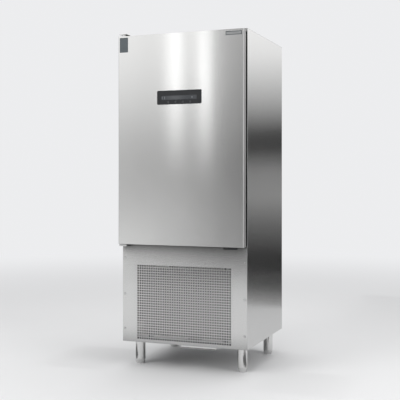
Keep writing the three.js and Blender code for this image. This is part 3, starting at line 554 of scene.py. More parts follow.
def moulded(name, base, roughness, grain=900.0, depth=0.00006, **sockets):
    """Moulded plastic or rubber with a fine texture and faint rubbed areas."""
    paint = new_paint(name)
    texture = paint.noise((grain,) * 3, detail=2.0)
    rubbed = paint.noise((9.0, 9.0, 6.0), detail=4.0, roughness=0.6)
    shade = paint.mix(rubbed, tone(base, 0.82), tone(base, 1.25))
    paint.surface(shade, roughness - 0.05 + rubbed * 0.1, 0.0, [(texture, depth, 0.35)], **sockets)


def make_finishes(colours):
    steel, bright = tuple(colours.steel), tuple(colours.bright)
    upright, level = (400.0, 400.0, 16.0), (16.0, 16.0, 400.0)
    brushed("door_steel", steel, 0.17, level, (6.5, 2.0, 0.35), 0.25, stretch=0.85, ends=0.4)
    # The lower panel's steel carries a painted shadow under the door's overhang, and the side steel carries
    # painted shade where the door and other sheets stand close.
    brushed("panel_steel", steel, 0.21, upright, (3.0, 1.0, 0.8), 0.0, wave=0.0001, painted_shade=(0.25, 2.7))
    brushed("side_steel", steel, 0.20, upright, (2.0, 0.4, 3.0), 0.0, wave=0.00015, painted_shade=(0.06, 2.0))
    brushed("inner_steel", steel, 0.30, (420.0, 420.0, 420.0), (2.0, 2.0, 2.0), 0.0, stretch=0.0)
    satin("bright_steel", bright, 0.15)
    # The lower bracket's steel carries painted shade where the door and the panel stand close.
    satin("bracket_steel", bright, 0.24, painted_shade=(0.05, 1.2))
    satin("foot_steel", bright, 0.30)
    satin("coil_aluminium", (0.68, 0.69, 0.70), 0.38)
    satin("copper", (0.72, 0.36, 0.20), 0.32)
    satin("black_paint", (0.014, 0.015, 0.017), 0.36, metallic=0.0, spots=120.0)
    moulded("black_plastic", tuple(colours.plastic), 0.42)
    moulded("frame_plastic", tuple(colours.frame_plastic), 0.48)
    moulded("gasket_rubber", tuple(colours.gasket), 0.62, grain=1400.0)
    moulded("key_plastic", (0.028, 0.03, 0.033), 0.30)
    moulded("panel_gloss", tuple(colours.panel), 0.24, grain=300.0, depth=0.00001, Specular_IOR_Level=0.35)
    galvanised_finish(tuple(colours.galvanised))
    foam_finish(tuple(colours.foam))
    display_finish()
    plate_finish(tuple(colours.plate))


def galvanised_finish(base):
    """Zinc spangle: flat crystals that each take the light a little differently."""
    paint = new_paint("galvanised_sheet")
    spot = paint.node("VectorMath", paint.place(), (70.0, 70.0, 70.0), operation="MULTIPLY")
    crystals = paint.node("TexVoronoi", sockets={"Vector": spot, "Scale": 1.0, "Randomness": 1.0}, out=1)
    level = paint.node("SeparateXYZ", crystals)
    cloud = paint.noise((5.0, 5.0, 5.0), detail=4.0)
    shade = paint.mix(level * 0.6 + cloud * 0.4, tone(base, 0.82), tone(base, 1.14))
    # Painted shade: the sheet's colour darkens where other surfaces stand within 0.2 m.
    shade = paint.darkened_as_shade(shade, 0.2, 2.5)
    paint.surface(shade, 0.34 + level * 0.16, 0.9, [(level, 0.00004, 0.3)])


def foam_finish(base):
    paint = new_paint("foam")
    cells = paint.noise((700.0,) * 3, detail=2.0)
    cloud = paint.noise((14.0,) * 3, detail=3.0)
    paint.surface(paint.mix(cloud, tone(base, 0.8), tone(base, 1.1)), 0.86 + cells * 0.08, 0.0,
                  [(cells, 0.0004, 0.7)])


def display_finish():
    """Smoked glass over a lit readout: two short bars at its left and one bright dot."""
    paint = new_paint("display")
    x, z = paint.axis("x"), paint.axis("z")
    middle = 1.609

    def within(offset, reach, blur):
        return 1.0 - paint.band(paint.node("Math", offset, operation="ABSOLUTE"), reach, reach + blur)

    def lit(centre, half_width, half_height):
        return within(x - centre, half_width, 1.5 * MM) * within(z - middle, half_height, 2 * MM)

    bar, dot = (2.2 * MM, 7 * MM), (4 * MM, 4 * MM)
    marks = lit(-0.108, *bar) + lit(-0.092, *bar) + lit(0.081, *dot) * 0.9
    haze = paint.noise((40.0,) * 3, detail=3.0)
    base = paint.mix(haze, (0.016, 0.018, 0.021), (0.03, 0.033, 0.038))
    paint.surface(base, 0.08 + haze * 0.04, 0.0, [], Emission_Color=paint.mix(
        marks, (0.02, 0.022, 0.025), (0.15, 0.16, 0.17)), Emission_Strength=0.6)


def plate_finish(base):
    """Enamel on a thin plate, with a slight orange-peel surface."""
    for name, shade, rough in (
        ("dark_enamel", base, 0.28),
        ("slate_enamel", (0.055, 0.07, 0.078), 0.3),
        ("pale_enamel", (0.24, 0.245, 0.245), 0.3),
    ):
        paint = new_paint(name)
        peel = paint.noise((260.0,) * 3, detail=2.0)
        cloud = paint.noise((30.0,) * 3, detail=3.0)
        paint.surface(paint.mix(cloud, tone(shade, 0.92), tone(shade, 1.08)), rough + cloud * 0.06, 0.0,
                      [(peel, 0.00005, 0.3)], Coat_Weight=0.3)


# ---- Casing -------------------------------------------------------------------------------


class Maker(bpy.types.Operator):
    """Common part of the operators that make pieces."""

    bl_options = {"REGISTER"}

    def execute(self, context):
        self.make(context.scene.chiller_sizes, context.scene.chiller_counts)
        return {"FINISHED"}


class CHILLER_OT_finishes(bpy.types.Operator):
    """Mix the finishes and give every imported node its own"""

    bl_idname = "chiller.finishes"
    bl_label = "Finishes"
    bl_options = {"REGISTER"}

    def execute(self, context):
        make_finishes(context.scene.chiller_colours)
        for part in frame["record"]["subparts"]:
            for holder in frame["nodes"][part["node"]].material_slots:
                holder.material = slot_finish(part["material_slot"])
        return {"FINISHED"}


class CHILLER_OT_side_panels(Maker):
    """Fold the two side sheets"""

    bl_idname = "chiller.side_panels"
    bl_label = "Side Panels"

    def make(self, sizes, counts):
        low, high = corners("right_side_panel")
        front_return, rear_return = 30 * MM, 22 * MM
        panel = block("right_side_sheet", (high.x - front_return, low.y, low.z), high)
        with Bench(panel) as bench:
            bench.faces(facing="-x").delete()
            bench.faces(facing="+z").delete()
            bench.faces(facing="-z").delete()
            bench.verts(lambda p: near(p.y, high.y) and p.x < high.x - sizes.bend)
            bench.move((front_return - rear_return, 0, 0))
            bench.edges(at(x=high.x), along="z").bevel(sizes.bend, 4)
        other = mirrored(panel, "left_side_sheet")
        for obj, node in ((panel, "right_side_panel"), (other, "left_side_panel")):
            fit(thicken(obj, sizes.sheet), "casing_steel", node)


class CHILLER_OT_top_panel(Maker):
    """Fold the roof sheet with its front and rear lips"""

    bl_idname = "chiller.top_panel"
    bl_label = "Top Panel"

    def make(self, sizes, counts):
        low, high = corners("top_panel")
        half_front, half_rear = 364.7 * MM, 372.7 * MM
        roof = block("roof_sheet", (low.x, low.y, high.z - sizes.sheet), high)
        with Bench(roof) as bench:
            for value in (-half_rear, -half_front, half_front, half_rear):
                bench.slice("x", value)
            bench.slice("y", low.y + sizes.sheet).slice("y", high.y - sizes.sheet)
            drop = (0, 0, low.z - (high.z - sizes.sheet))
            bench.faces(lambda p: abs(p.x) < half_front and p.y < low.y + sizes.sheet, "-z").extrude(drop)
            bench.faces(lambda p: abs(p.x) < half_rear and p.y > high.y - sizes.sheet
                        and p.z > low.z + 0.01, "-z").extrude(drop)
        fit(ease(roof, 0.5 * MM), "casing_steel", "top_panel")


class CHILLER_OT_back_panels(Maker):
    """Press the upper back sheet and cut the louvres of the lower one"""

    bl_idname = "chiller.back_panels"
    bl_label = "Back Panels"

    def make(self, sizes, counts):
        low, high = corners("rear_panel")
        sheet = block("back_sheet", low, high)
        with Bench(sheet) as bench:
            bench.faces(facing="+y").inset(55 * MM).inset(6 * MM, -0.7 * MM)
        fit(ease(sheet, 0.3 * MM), "galvanised_sheet", "rear_panel")
        low, high = corners("rear_grille")
        grille = block("back_grille", low, high)
        slot_left, slot_right, slot_bottom, slot_height = -0.28, -0.04, 0.24, 10 * MM
        slot = block("slot", (slot_left, low.y - 3 * MM, slot_bottom),
                     (slot_right, high.y + 3 * MM, slot_bottom + slot_height))
        with Bench(slot) as bench:
            bench.edges(along="y").bevel(4.9 * MM, 6)
        vane = block("vane", (slot_left - 4 * MM, low.y - 0.9 * MM, slot_bottom - 2 * MM),
                     (slot_right + 4 * MM, low.y, slot_bottom + slot_height + 2 * MM))
        with Bench(vane) as bench:
            bench.faces(facing="+z").move((0, -9 * MM, 0))
        for obj in (slot, vane):
            for count, step in ((12, (0, 0, 30 * MM)), (2, (320 * MM, 0, 0))):
                repeated(obj, count, step)
        cut_out(grille, slot)
        fit(joined("back_grille", grille, vane), "galvanised_sheet", "rear_grille")


# ---- Door ---------------------------------------------------------------------------------


class CHILLER_OT_door_pan(Maker):
    """Bend the door's outer pan, with its back lips and the cut-out for the control panel"""

    bl_idname = "chiller.door_pan"
    bl_label = "Door Pan"

    def make(self, sizes, counts):
        low, high = corners("door_skin")
        pan = block("door_pan", low, high)
        lip, grip = sizes.door_lip, sizes.grip_lip
        with Bench(pan) as bench:
            bench.faces(facing="+y").inset(lip)
            bench.edges(at(x=high.x - lip, y=high.y), along="z")
            bench.move((lip - grip, 0, 0))
            bench.faces(lambda p: abs(p.x) < high.x - grip and low.z + lip < p.z < high.z - lip, "+y")
            bench.delete()
            sides = (low.x, high.x)
            bench.edges(at(x=sides, y=low.y), along="z").bevel(sizes.door_bend, 8)
            bench.edges(lambda p: near(p.z, low.z, high.z) and p.y < high.y - 1 * MM).bevel(1.6 * MM, 3)
            bench.edges(at(x=sides, y=high.y), along="z").bevel(1.2 * MM, 2)
        thicken(pan, sizes.door_sheet)
        bezel_low, bezel_high = corners("control_bezel")
        margin = 5 * MM
        half_width = bezel_high.x - 4.7 * MM
        opening = block("opening", (-half_width, low.y - 2 * MM, bezel_low.z + margin),
                        (half_width, low.y + 4 * MM, bezel_high.z - margin))
        pins = [round_bar("pin_hole", (*PIN_PLACE, height), 6.5 * MM, 8 * MM, sides=32)
                for height in (low.z, high.z)]
        cut_out(pan, opening, *pins)
        fit(pan, "door_steel", "door_skin", body="door")


class CHILLER_OT_door_edge(Maker):
    """Shape the black profile round the door, with the finger channel and the gasket"""

    bl_idname = "chiller.door_edge"
    bl_label = "Door Profile and Gasket"

    def make(self, sizes, counts):
        low, high = corners("door_profile")
        skin_low, skin_high = corners("door_skin")
        inset = 2 * MM + sizes.profile_band
        profile = ring_block("door_edge_profile", low, high,
                             (skin_low.x + inset, skin_low.z + inset),
                             (skin_high.x - inset, skin_high.z - inset))
        with Bench(profile) as bench:
            bench.faces(at(x=high.x), "+x").inset(3 * MM).inset(2.5 * MM, -5 * MM)
        fit(ease(profile, 0.8 * MM), "black_plastic", "door_profile", body="door")
        low, high = corners("door_gasket")
        width = 20 * MM
        gasket = ring_block("door_seal", low, high, (low.x + width, low.z + width),
                            (high.x - width, high.z - width))
        with Bench(gasket) as bench:
            for step in (0, width):
                bench.faces(lambda p, step=step: low.y < p.y < high.y and (
                    near(abs(p.x), high.x - step) or near(p.z, low.z + step, high.z - step)))
                bench.inset(2.6 * MM)
                bpy.ops.transform.shrink_fatten(value=-3.0 * MM)
        fit(ease(gasket, 0.9 * MM, 3), "gasket_rubber", "door_gasket", body="door", angle=50)


class CHILLER_OT_door_inside(Maker):
    """Press the door's inner pan"""

    bl_idname = "chiller.door_inside"
    bl_label = "Door Inner Pan"

    def make(self, sizes, counts):
        low, high = corners("door_liner")
        pan = block("door_inner_pan", low, high)
        with Bench(pan) as bench:
            bench.faces(facing="-y").delete()
            bench.edges(at(y=high.y)).bevel(2 * MM, 3)
            bench.faces(at(y=high.y), "+y").inset(38 * MM).inset(7 * MM, -3.5 * MM)
            border = 30 * MM
            bench.edges(lambda p: p.y > high.y - 4 * MM and abs(p.x) < high.x - border
                        and low.z + border < p.z < high.z - border).bevel(1.5 * MM, 2)
        fit(thicken(pan, sizes.door_sheet), "inner_steel", "door_liner", body="door")
        core = traced("door_core", "door_foam")
        press = 36 * MM
        cut_out(core, block("press", (low.x + press, high.y - 6 * MM, low.z + press),
                            (high.x - press, high.y + 1 * MM, high.z - press)))
        fit(core, "foam", "door_foam", body="door")


class CHILLER_OT_control_panel(Maker):
    """Make the control panel, its display window and its keys"""

    bl_idname = "chiller.control_panel"
    bl_label = "Control Panel"

    def make(self, sizes, counts):
        low, high = corners("control_bezel")
        plate_back = low.y + 1.2 * MM
        plate = block("control_front", low, (high.x, plate_back, high.z))
        with Bench(plate) as bench:
            bench.edges(along="y").bevel(7 * MM, 8)
            bench.edges(at(y=low.y)).bevel(0.5 * MM, 3)
            bench.faces(facing="+y").inset(5 * MM).extrude((0, high.y - plate_back, 0))
            bench.faces(at(y=low.y), "-y").inset(4 * MM).inset(0.7 * MM, -0.3 * MM)
        window_low, window_high = corners("display_window")
        slack = Vector((0.3 * MM, 0, 0.3 * MM))
        cutters = [block("window_pocket", window_low - slack - Vector((0, 2 * MM, 0)), window_high + slack
                         + Vector((0, 0.3 * MM, 0)))]
        keys = [corners(f"key_{i + 1}") for i in range(4)]
        for key_low, key_high in keys:
            middle = (key_low + key_high) / 2
            middle.y = key_low.y + 3 * MM
            cutters.append(round_bar("key_pocket", middle, 7.4 * MM, 8 * MM, "y"))
        cut_out(plate, *cutters)
        fit(plate, "panel_gloss", "control_bezel", body="door")
        window = block("readout_window", window_low, window_high)
        with Bench(window) as bench:
            bench.edges(along="y").bevel(1.5 * MM, 4)
            bench.edges(at(y=window_low.y)).bevel(0.4 * MM, 2)
        fit(window, "display", "display_window", body="door")
        key = self.key(*keys[0])
        for i, (key_low, key_high) in enumerate(keys):
            node = f"key_{i + 1}"
            copied(key, (key_low.x - keys[0][0].x, 0, 0), f"key_cap_{i + 1}", "key_plastic", node, node)
        bpy.data.objects.remove(key, do_unlink=True)

    def key(self, low, high):
        """A round cap with a shallow dish."""
        middle = (low + high) / 2
        cap = round_bar("key_cap", middle, (high.x - low.x) / 2, high.y - low.y, "y", 40)
        with Bench(cap) as bench:
            bench.edges(at(y=low.y)).bevel(0.5 * MM, 3)
            bench.faces(at(y=low.y), "-y").inset(1.2 * MM).inset(1.6 * MM, -0.25 * MM)
            bench.inset(1.4 * MM, -0.12 * MM)
        return smooth(cap)


class CHILLER_OT_plates(Maker):
    """Make the two bare plates at the door's upper corners"""

    bl_idname = "chiller.plates"
    bl_label = "Door Plates"

    def make(self, sizes, counts):
        face = corners("door_skin")[0].y
        for name, x, z, radius, rim, field in (
            ("left_plate", (-0.3845, -0.3305), (1.890, 1.978), 3 * MM, 2.0 * MM, "slate_enamel"),
            ("right_plate", (0.2875, 0.3835), (1.9545, 1.975), 2 * MM, 2.6 * MM, "pale_enamel"),
        ):
            low, high = Vector((x[0], face - 0.8 * MM, z[0])), Vector((x[1], face + 0.05 * MM, z[1]))
            plate = block(name, low, high)
            with Bench(plate) as bench:
                bench.edges(along="y").bevel(radius, 5)
                bench.edges(at(y=low.y)).bevel(0.25 * MM, 2)
                bench.faces(at(y=low.y), "-y").inset(rim).inset(0.3 * MM, -0.3 * MM)
            fit(plate, "panel_gloss", body="door", finish="dark_enamel")
            border, set_back = rim + 0.5 * MM, 0.15 * MM
            middle = block(name + "_field", low + Vector((border, set_back, border)),
                           high - Vector((border, 0, border)))
            with Bench(middle) as bench:
                bench.edges(along="y").bevel(1 * MM, 4)
                bench.edges(at(y=low.y + set_back)).bevel(0.1 * MM, 1)
            fit(middle, "panel_gloss", body="door", finish=field)


# ---- Lower front panel --------------------------------------------------------------------


class CHILLER_OT_lower_panel(Maker):
    """Punch and fold the perforated panel"""

    bl_idname = "chiller.lower_panel"
    bl_label = "Lower Front Panel"

    def make(self, sizes, counts):
        low, high = corners("lower_front_panel")
        pitch = sizes.vent_pitch
        half_width, half_height = counts.vent_columns * pitch / 2, counts.vent_rows * pitch / 2
        bottom, top = sizes.vent_middle - half_height, sizes.vent_middle + half_height
        bpy.ops.mesh.primitive_plane_add(size=pitch, rotation=(math.pi / 2, 0, 0),
                                         location=(pitch / 2 - half_width, low.y, bottom + pitch / 2))
        panel = newest("perforated_panel")
        with Bench(panel) as bench:
            bench.all().inset((pitch - sizes.vent_hole) / 2).delete()
        for count, step in ((counts.vent_columns, (pitch, 0, 0)), (counts.vent_rows, (0, 0, pitch))):
            repeated(panel, count, step)
        with Bench(panel) as bench:
            bench.merge()
            bench.rims(at(x=half_width)).extrude((high.x - half_width, 0, 0))
            bench.rims(at(x=-half_width)).extrude((half_width + low.x, 0, 0))
            bench.rims(at(z=top)).extrude((0, 0, high.z - top))
            bench.rims(at(z=bottom)).extrude((0, 0, low.z - bottom))
            on_edge = lambda p: near(p.x, low.x, high.x) or near(p.z, low.z, high.z)
            bench.rims(on_edge).extrude((0, high.y - low.y, 0))
            bench.face_out()
            bench.edges(lambda p: on_edge(p) and near(p.y, low.y)).bevel(1.6 * MM, 3)
        thicken(panel, sizes.sheet)
        switch_low, switch_high = corners("door_switch")
        for name, left, right, drop in (
            ("hinge_notch", low.x - 2 * MM, low.x + 51 * MM, 9 * MM),
            ("switch_notch", switch_low.x - 1 * MM, switch_high.x + 1 * MM, 13 * MM),
        ):
            cut_out(panel, block(name, (left, low.y - 2 * MM, high.z - drop),
                                 (right, high.y + 2 * MM, high.z + 2 * MM)))
        fit(panel, "casing_steel", "lower_front_panel", finish="panel_steel")


class CHILLER_OT_screws(Maker):
    """Turn the six screws of the lower panel"""

    bl_idname = "chiller.screws"
    bl_label = "Panel Screws"

    def make(self, sizes, counts):
        names = [f"panel_screw_{side}_{i}" for side in ("left", "right") for i in (1, 2, 3)]
        first_low, first_high = corners(names[0])
        middle = (first_low + first_high) / 2
        screw = self.screw(first_low, first_high)
        for name in names:
            low, high = corners(name)
            copied(screw, (low + high) / 2 - middle, name + "_head", "bright_steel", name)
        bpy.data.objects.remove(screw, do_unlink=True)

    def screw(self, low, high):
        """A domed head with a six-cornered socket, on its shank."""
        middle, radius = (low + high) / 2, (high.x - low.x) / 2
        rise, rim = 1.5 * MM, 1.0 * MM
        under = low.y + rise + rim
        head = round_bar("screw", (middle.x, low.y + rise + rim / 2, middle.z), radius, rim, "y", 36)
        with Bench(head) as bench:
            bench.faces(lambda p: p.y < low.y + rise + 0.1 * MM, "-y").inset(0.7 * MM, 0.75 * MM)
            bench.inset(0.9 * MM, 0.5 * MM).inset(1.0 * MM, 0.2 * MM)
            bench.inset(0.35 * MM, -0.3 * MM).extrude((0, 1.2 * MM, 0))
            bench.faces(at(y=under), "+y").inset(radius - 2 * MM)
            bench.extrude((0, high.y - under, 0)).scale((0.9, 1, 0.9), (middle.x, 0, middle.z))
        return smooth(head)


# ---- Legs, tray and hinge -----------------------------------------------------------------


class CHILLER_OT_legs(Maker):
    """Turn the legs and their levelling feet"""

    bl_idname = "chiller.legs"
    bl_label = "Legs and Feet"

    def make(self, sizes, counts):
        low, high = corners("leg_front_left")
        first = (low + high) / 2
        leg, foot = self.leg(low, high), self.foot(*corners("foot_front_left"))
        for place in ("front_left", "front_right", "rear_left", "rear_right"):
            low, high = corners("leg_" + place)
            step = Vector(((low.x + high.x) / 2 - first.x, (low.y + high.y) / 2 - first.y, 0))
            copied(leg, step, "leg_tube_" + place, "bright_steel", "leg_" + place)
            copied(foot, step, "foot_cup_" + place, "foot_steel", "foot_" + place, "foot_" + place)
        for shape in (leg, foot):
            bpy.data.objects.remove(shape, do_unlink=True)

    def leg(self, low, high):
        """A closed tube with a rolled lower rim and a blind bore for the spindle."""
        middle, radius = (low + high) / 2, (high.x - low.x) / 2
        bore = 76 * MM
        tube = round_bar("leg", middle, radius, high.z - low.z, sides=64)
        with Bench(tube) as bench:
            bench.faces(facing="-z").inset(1.6 * MM).inset(0.8 * MM, -1.0 * MM).inset(20.9 * MM)
            bench.extrude((0, 0, bore))
            bench.edges(lambda p: near(p.z, low.z) and (p.xy - middle.xy).length > radius - 0.5 * MM)
            bench.bevel(0.9 * MM, 3)
            bench.edges(at(z=high.z)).bevel(1.2 * MM, 3)
        return smooth(tube)

    def foot(self, low, high):
        """A cup that narrows to the floor, with its threaded spindle."""
        middle, radius = (low + high) / 2, (high.x - low.x) / 2
        top = low.z + 25 * MM
        narrow = 24.5 / 29
        groove, pitch, turns = 0.86, 2 * MM, 34
        cup = round_bar("foot", (middle.x, middle.y, (low.z + top) / 2), radius, top - low.z, sides=64)
        with Bench(cup) as bench:
            bench.slice("z", top - 5 * MM).slice("z", low.z + 3 * MM)
            bench.verts(lambda p: p.z < low.z + 4 * MM).scale((narrow, narrow, 1), (middle.x, middle.y, 0))
            bench.edges(at(z=low.z)).bevel(1.5 * MM, 3)
            bench.edges(at(z=top)).bevel(1.2 * MM, 3)
            bench.faces(at(z=top), "+z").inset(3 * MM).inset(1 * MM, -0.8 * MM).inset(17.6 * MM)
            spindle = high.z - (top - 0.8 * MM)
            bench.extrude((0, 0, spindle - turns * pitch))
            for _ in range(turns):
                for factor in (groove, 1 / groove):
                    bench.extrude((0, 0, pitch / 2)).scale((factor, factor, 1), (middle.x, middle.y, 0))
        return smooth(cup)


class CHILLER_OT_drip_tray(Maker):
    """Fold the drip tray with its rims and its finger edge"""

    bl_idname = "chiller.drip_tray"
    bl_label = "Drip Tray"

    def make(self, sizes, counts):
        low, high = corners("drip_tray")
        rim, pull, inset = 8 * MM, 12 * MM, 2 * MM
        x, y = (low.x + rim, high.x - rim), (low.y + pull, high.y)
        tray = block("drip_pan", (x[0], y[0], low.z), (x[1], y[1], high.z))
        with Bench(tray) as bench:
            bench.faces(facing="+z").delete()
            bench.edges(along="z").bevel(3 * MM, 4)
            bench.edges(at(z=low.z)).bevel(2 * MM, 3)
            for edge, step in ((x[0], -rim), (x[1], rim)):
                bench.rims(at(x=edge)).extrude((step, 0, 0))
        thicken(tray, sizes.sheet)
        lip = block("pull", (x[0] + inset, low.y, low.z),
                    (x[1] - inset, y[0] + 3 * MM, low.z + sizes.sheet))
        with Bench(lip) as bench:
            bench.edges(at(y=low.y), along="z").bevel(6 * MM, 5)
        fit(joined("drip_pan", tray, ease(lip, 0.4 * MM)), "casing_steel", "drip_tray", body="drip_tray",
            finish="bright_steel")


class CHILLER_OT_hinge(Maker):
    """Cut the two hinge brackets"""

    bl_idname = "chiller.hinge"
    bl_label = "Hinge Brackets"

    def make(self, sizes, counts):
        low, high = corners("top_hinge_bracket")
        top = block("upper_bracket", low, high)
        with Bench(top) as bench:
            bench.edges(at(y=low.y), along="z").bevel(4 * MM, 5)
            bench.edges(at(y=high.y), along="z").bevel(5 * MM, 5)
        low, high = corners("bottom_hinge_bracket")
        plate, flange, gap = 12 * MM, 7 * MM, 1.5 * MM
        bottom = block("lower_bracket", (low.x, low.y, high.z - plate), high)
        with Bench(bottom) as bench:
            bench.slice("y", high.y - flange).slice("x", low.x + gap)
            bench.faces(lambda p: p.y > high.y - flange and p.x > low.x + gap, "-z")
            bench.extrude((0, 0, low.z - (high.z - plate)))
            for x in (low.x, high.x):
                bench.edges(at(x=x, y=low.y), along="z").bevel(4 * MM, 5)
        for obj, node, finish in ((top, "top_hinge_bracket", "bright_steel"),
                                  (bottom, "bottom_hinge_bracket", "bracket_steel")):
            z = corners(node)[1].z
            cut_out(obj, round_bar("pin_hole", (*PIN_PLACE, z), 6.3 * MM, 30 * MM, sides=32))
            fit(ease(obj, 0.7 * MM, 3), "bright_steel", node, finish=finish)


# ---- Chamber ------------------------------------------------------------------------------


class CHILLER_OT_chamber(Maker):
    """Form the chamber's liner with its coved corners, and the front frame"""

    bl_idname = "chiller.chamber"
    bl_label = "Chamber"

    def make(self, sizes, counts):
        low, high = corners("inner_liner")
        wall = 1 * MM
        inner_low = Vector((low.x + wall, low.y, low.z + wall))
        inner_high = Vector((high.x - wall, high.y - wall, high.z - wall))
        liner = block("chamber_liner", inner_low, inner_high)
        with Bench(liner) as bench:
            bench.faces(facing="-y").delete()
            bench.edges(along="y").bevel(sizes.cove, 8)
        thicken(liner, wall, 1.0)
        drain, pipe = (0.12, 0, 12 * MM), (0.245, 0.28925, 9 * MM)
        for x, y, radius in (drain, pipe):
            cut_out(liner, round_bar("hole", (x, y, inner_low.z), radius, 10 * MM))
        fit(liner, "inner_steel", "inner_liner")
        low, high = corners("front_frame")
        border = ring_block("mouth_frame", low, high, (inner_low.x, inner_low.z),
                            (inner_high.x, inner_high.z))
        with Bench(border) as bench:
            bench.edges(at(x=(inner_low.x, inner_high.x), z=(inner_low.z, inner_high.z)), along="y")
            bench.bevel(sizes.cove, 8)
        fit(ease(border, 1.0 * MM), "frame_plastic", "front_frame")


class CHILLER_OT_racks(Maker):
    """Form the tray racks"""

    bl_idname = "chiller.racks"
    bl_label = "Tray Racks"

    def make(self, sizes, counts):
        low, high = corners("rack_right")
        sheet = 1.5 * MM
        upright_x = high.x - 11 * MM
        outer_x = upright_x + 0.5 * MM
        base, level_pitch, rim = 0.848, 70 * MM, 12 * MM
        runner = block("runner", (low.x, low.y, base), (outer_x, high.y, base + sheet))
        with Bench(runner) as bench:
            bench.slice("x", outer_x - sheet)
            bench.faces(lambda p: p.x > outer_x - sheet, "+z").extrude((0, 0, rim - sheet))
            bench.edges(at(x=low.x), along="z").bevel(7 * MM, 5)
        ease(runner, 0.4 * MM)
        repeated(runner, counts.levels, (0, 0, level_pitch))
        uprights = []
        width, end = 24 * MM, 45 * MM
        for y in (low.y + end, high.y - end - width):
            upright = block("upright", (upright_x, y, low.z), (high.x, y + width, high.z))
            with Bench(upright) as bench:
                bench.faces(facing="+x").delete()
                bench.edges(at(x=upright_x), along="z").bevel(2 * MM, 3)
            uprights.append(thicken(upright, sheet))
        rack = smooth(joined("right_rack", runner, *uprights))
        other = mirrored(rack, "left_rack")
        for obj, node in ((rack, "rack_right"), (other, "rack_left")):
            fit(obj, "bright_steel", node, angle=None)


class CHILLER_OT_fan_wall(Maker):
    """Form the fan wall with its openings and wire guards"""

    bl_idname = "chiller.fan_wall"
    bl_label = "Fan Wall"

    def make(self, sizes, counts):
        low, high = corners("fan_wall")
        half = 0.3
        wall = block("fan_cover", (-half, low.y, low.z), (half, high.y, high.z))
        with Bench(wall) as bench:
            bench.faces(facing="+y").delete()
            bench.edges(at(y=low.y)).bevel(4 * MM, 4)
            bench.edges(lambda p: p.y > low.y + 3.5 * MM, along="y").bevel(4 * MM, 3)
        thicken(wall, sizes.sheet)
        parts, heights, opening = [], (1.110, 1.622), 135 * MM
        for height in heights:
            cut_out(wall, round_bar("opening", (0, low.y, height), opening, 30 * MM, "y", 96))
            parts += self.guard(low.y, height)
        ear_height, ear_inset, overlap = 30 * MM, 60 * MM, 2 * MM
        for sign in (-1, 1):
            start, end = sorted((sign * (half - overlap), sign * high.x))
            for bottom in (low.z + ear_inset, high.z - ear_inset - ear_height):
                ear = block("ear", (start, low.y, bottom),
                            (end, low.y + sizes.sheet, bottom + ear_height))
                parts.append(ease(ear, 0.4 * MM))
        fit(joined("fan_cover", wall, *parts), "inner_steel", "fan_wall")

    def guard(self, face, height):
        """Rings and spokes of wire across one opening."""
        parts, wire = [], 1.5 * MM
        y, across = face + wire, 280 * MM
        for radius in (30, 52, 74, 96, 118, 138):
            bpy.ops.mesh.primitive_torus_add(major_radius=radius * MM, minor_radius=wire, major_segments=64,
                                             minor_segments=8, location=(0, y, height), rotation=TURNS["y"])
            parts.append(newest("guard_ring"))
        for turn in range(4):
            spoke = round_bar("guard_spoke", (0, y + wire, height), wire, across, "z", 8)
            with Bench(spoke) as bench:
                bench.all().turn(math.radians(45 * turn + 22.5), "Y", (0, y + wire, height))
            parts.append(spoke)
        return parts


class CHILLER_OT_fans(Maker):
    """Shape the three fans with their twisted blades"""

    bl_idname = "chiller.fans"
    bl_label = "Fans"

    def make(self, sizes, counts):
        for name, node in (("lower_fan", "chamber_fan_lower"), ("upper_fan", "chamber_fan_upper"),
                           ("condenser_blades", "condenser_fan")):
            low, high = corners(node)
            radius = 150 * MM if node == "condenser_fan" else 125 * MM
            fit(self.fan(name, (low + high) / 2, radius), "black_plastic", node, body=node)

    def fan(self, name, middle, radius):
        """A domed hub and five blades that twist towards their tips."""
        hub_size = 34 * MM
        hub = round_bar(name, middle, hub_size, hub_size, "y", 48)
        front = middle.y - hub_size / 2
        with Bench(hub) as bench:
            bench.edges(at(y=front)).bevel(5 * MM, 5)
            bench.faces(at(y=front), "-y").inset(8 * MM, 0.0).inset(2 * MM, -1.2 * MM)
        root, steps = 25 * MM, 5
        blade = block("blade", (middle.x + root, middle.y - 1.2 * MM, middle.z - 30 * MM),
                      (middle.x + radius, middle.y + 1.2 * MM, middle.z + 22 * MM))
        with Bench(blade) as bench:
            stations = [middle.x + root + i * (radius - root) / steps for i in range(steps + 1)]
            for x in stations[1:-1]:
                bench.slice("x", x)
            bench.verts(lambda p: p.x > middle.x + radius - 1 * MM).scale((0.985, 1, 1.0), tuple(middle))
            for i, x in enumerate(stations):
                share = i / steps
                bench.verts(lambda p, x=x: abs(p.x - x) < 4 * MM)
                bench.scale((1, 1, 1.0 + 0.5 * share), (x, middle.y, middle.z))
                bench.turn(math.radians(-(34 - 16 * share)), "X", (x, middle.y, middle.z))
        ease(blade, 0.6 * MM)
        blades = [blade]
        for angle in (72, 144, 216, 288):
            blades.append(twin(blade, "blade"))
            with Bench(blades[-1]) as bench:
                bench.all().turn(math.radians(angle), "Y", tuple(middle))
        return joined(name, hub, *blades)


class CHILLER_OT_coils(Maker):
    """Stack the fins of the evaporator and the condenser"""

    bl_idname = "chiller.coils"
    bl_label = "Coils"

    def make(self, sizes, counts):
        for name, node, slot, core in (
            ("evaporator_fins", "evaporator_coil", "coil_aluminium", (0.239, 0.339, 0.870, 1.870, 0.27)),
            # The condenser's fins are black, standing in as painted shade for the dark seen through the
            # lower panel's holes.
            ("condenser_fins", "condenser_coil", "black_paint", (-0.304, -0.244, 0.190, 0.600, 0.27)),
        ):
            y0, y1, z0, z1, half = core
            fin = block("fin", (-half, y0, z0), (-half + 0.5 * MM, y1, z1))
            with Bench(fin) as bench:
                bench.slice("y", (y0 + y1) / 2)
                bench.verts(at(y=(y0 + y1) / 2)).move((0.8 * MM, 0, 0))
            count = int(2 * half / sizes.fin_pitch)
            repeated(fin, count, ((2 * half - 0.5 * MM) / (count - 1), 0, 0))
            fit(joined(name, fin, traced("tubes", node)), slot, node)


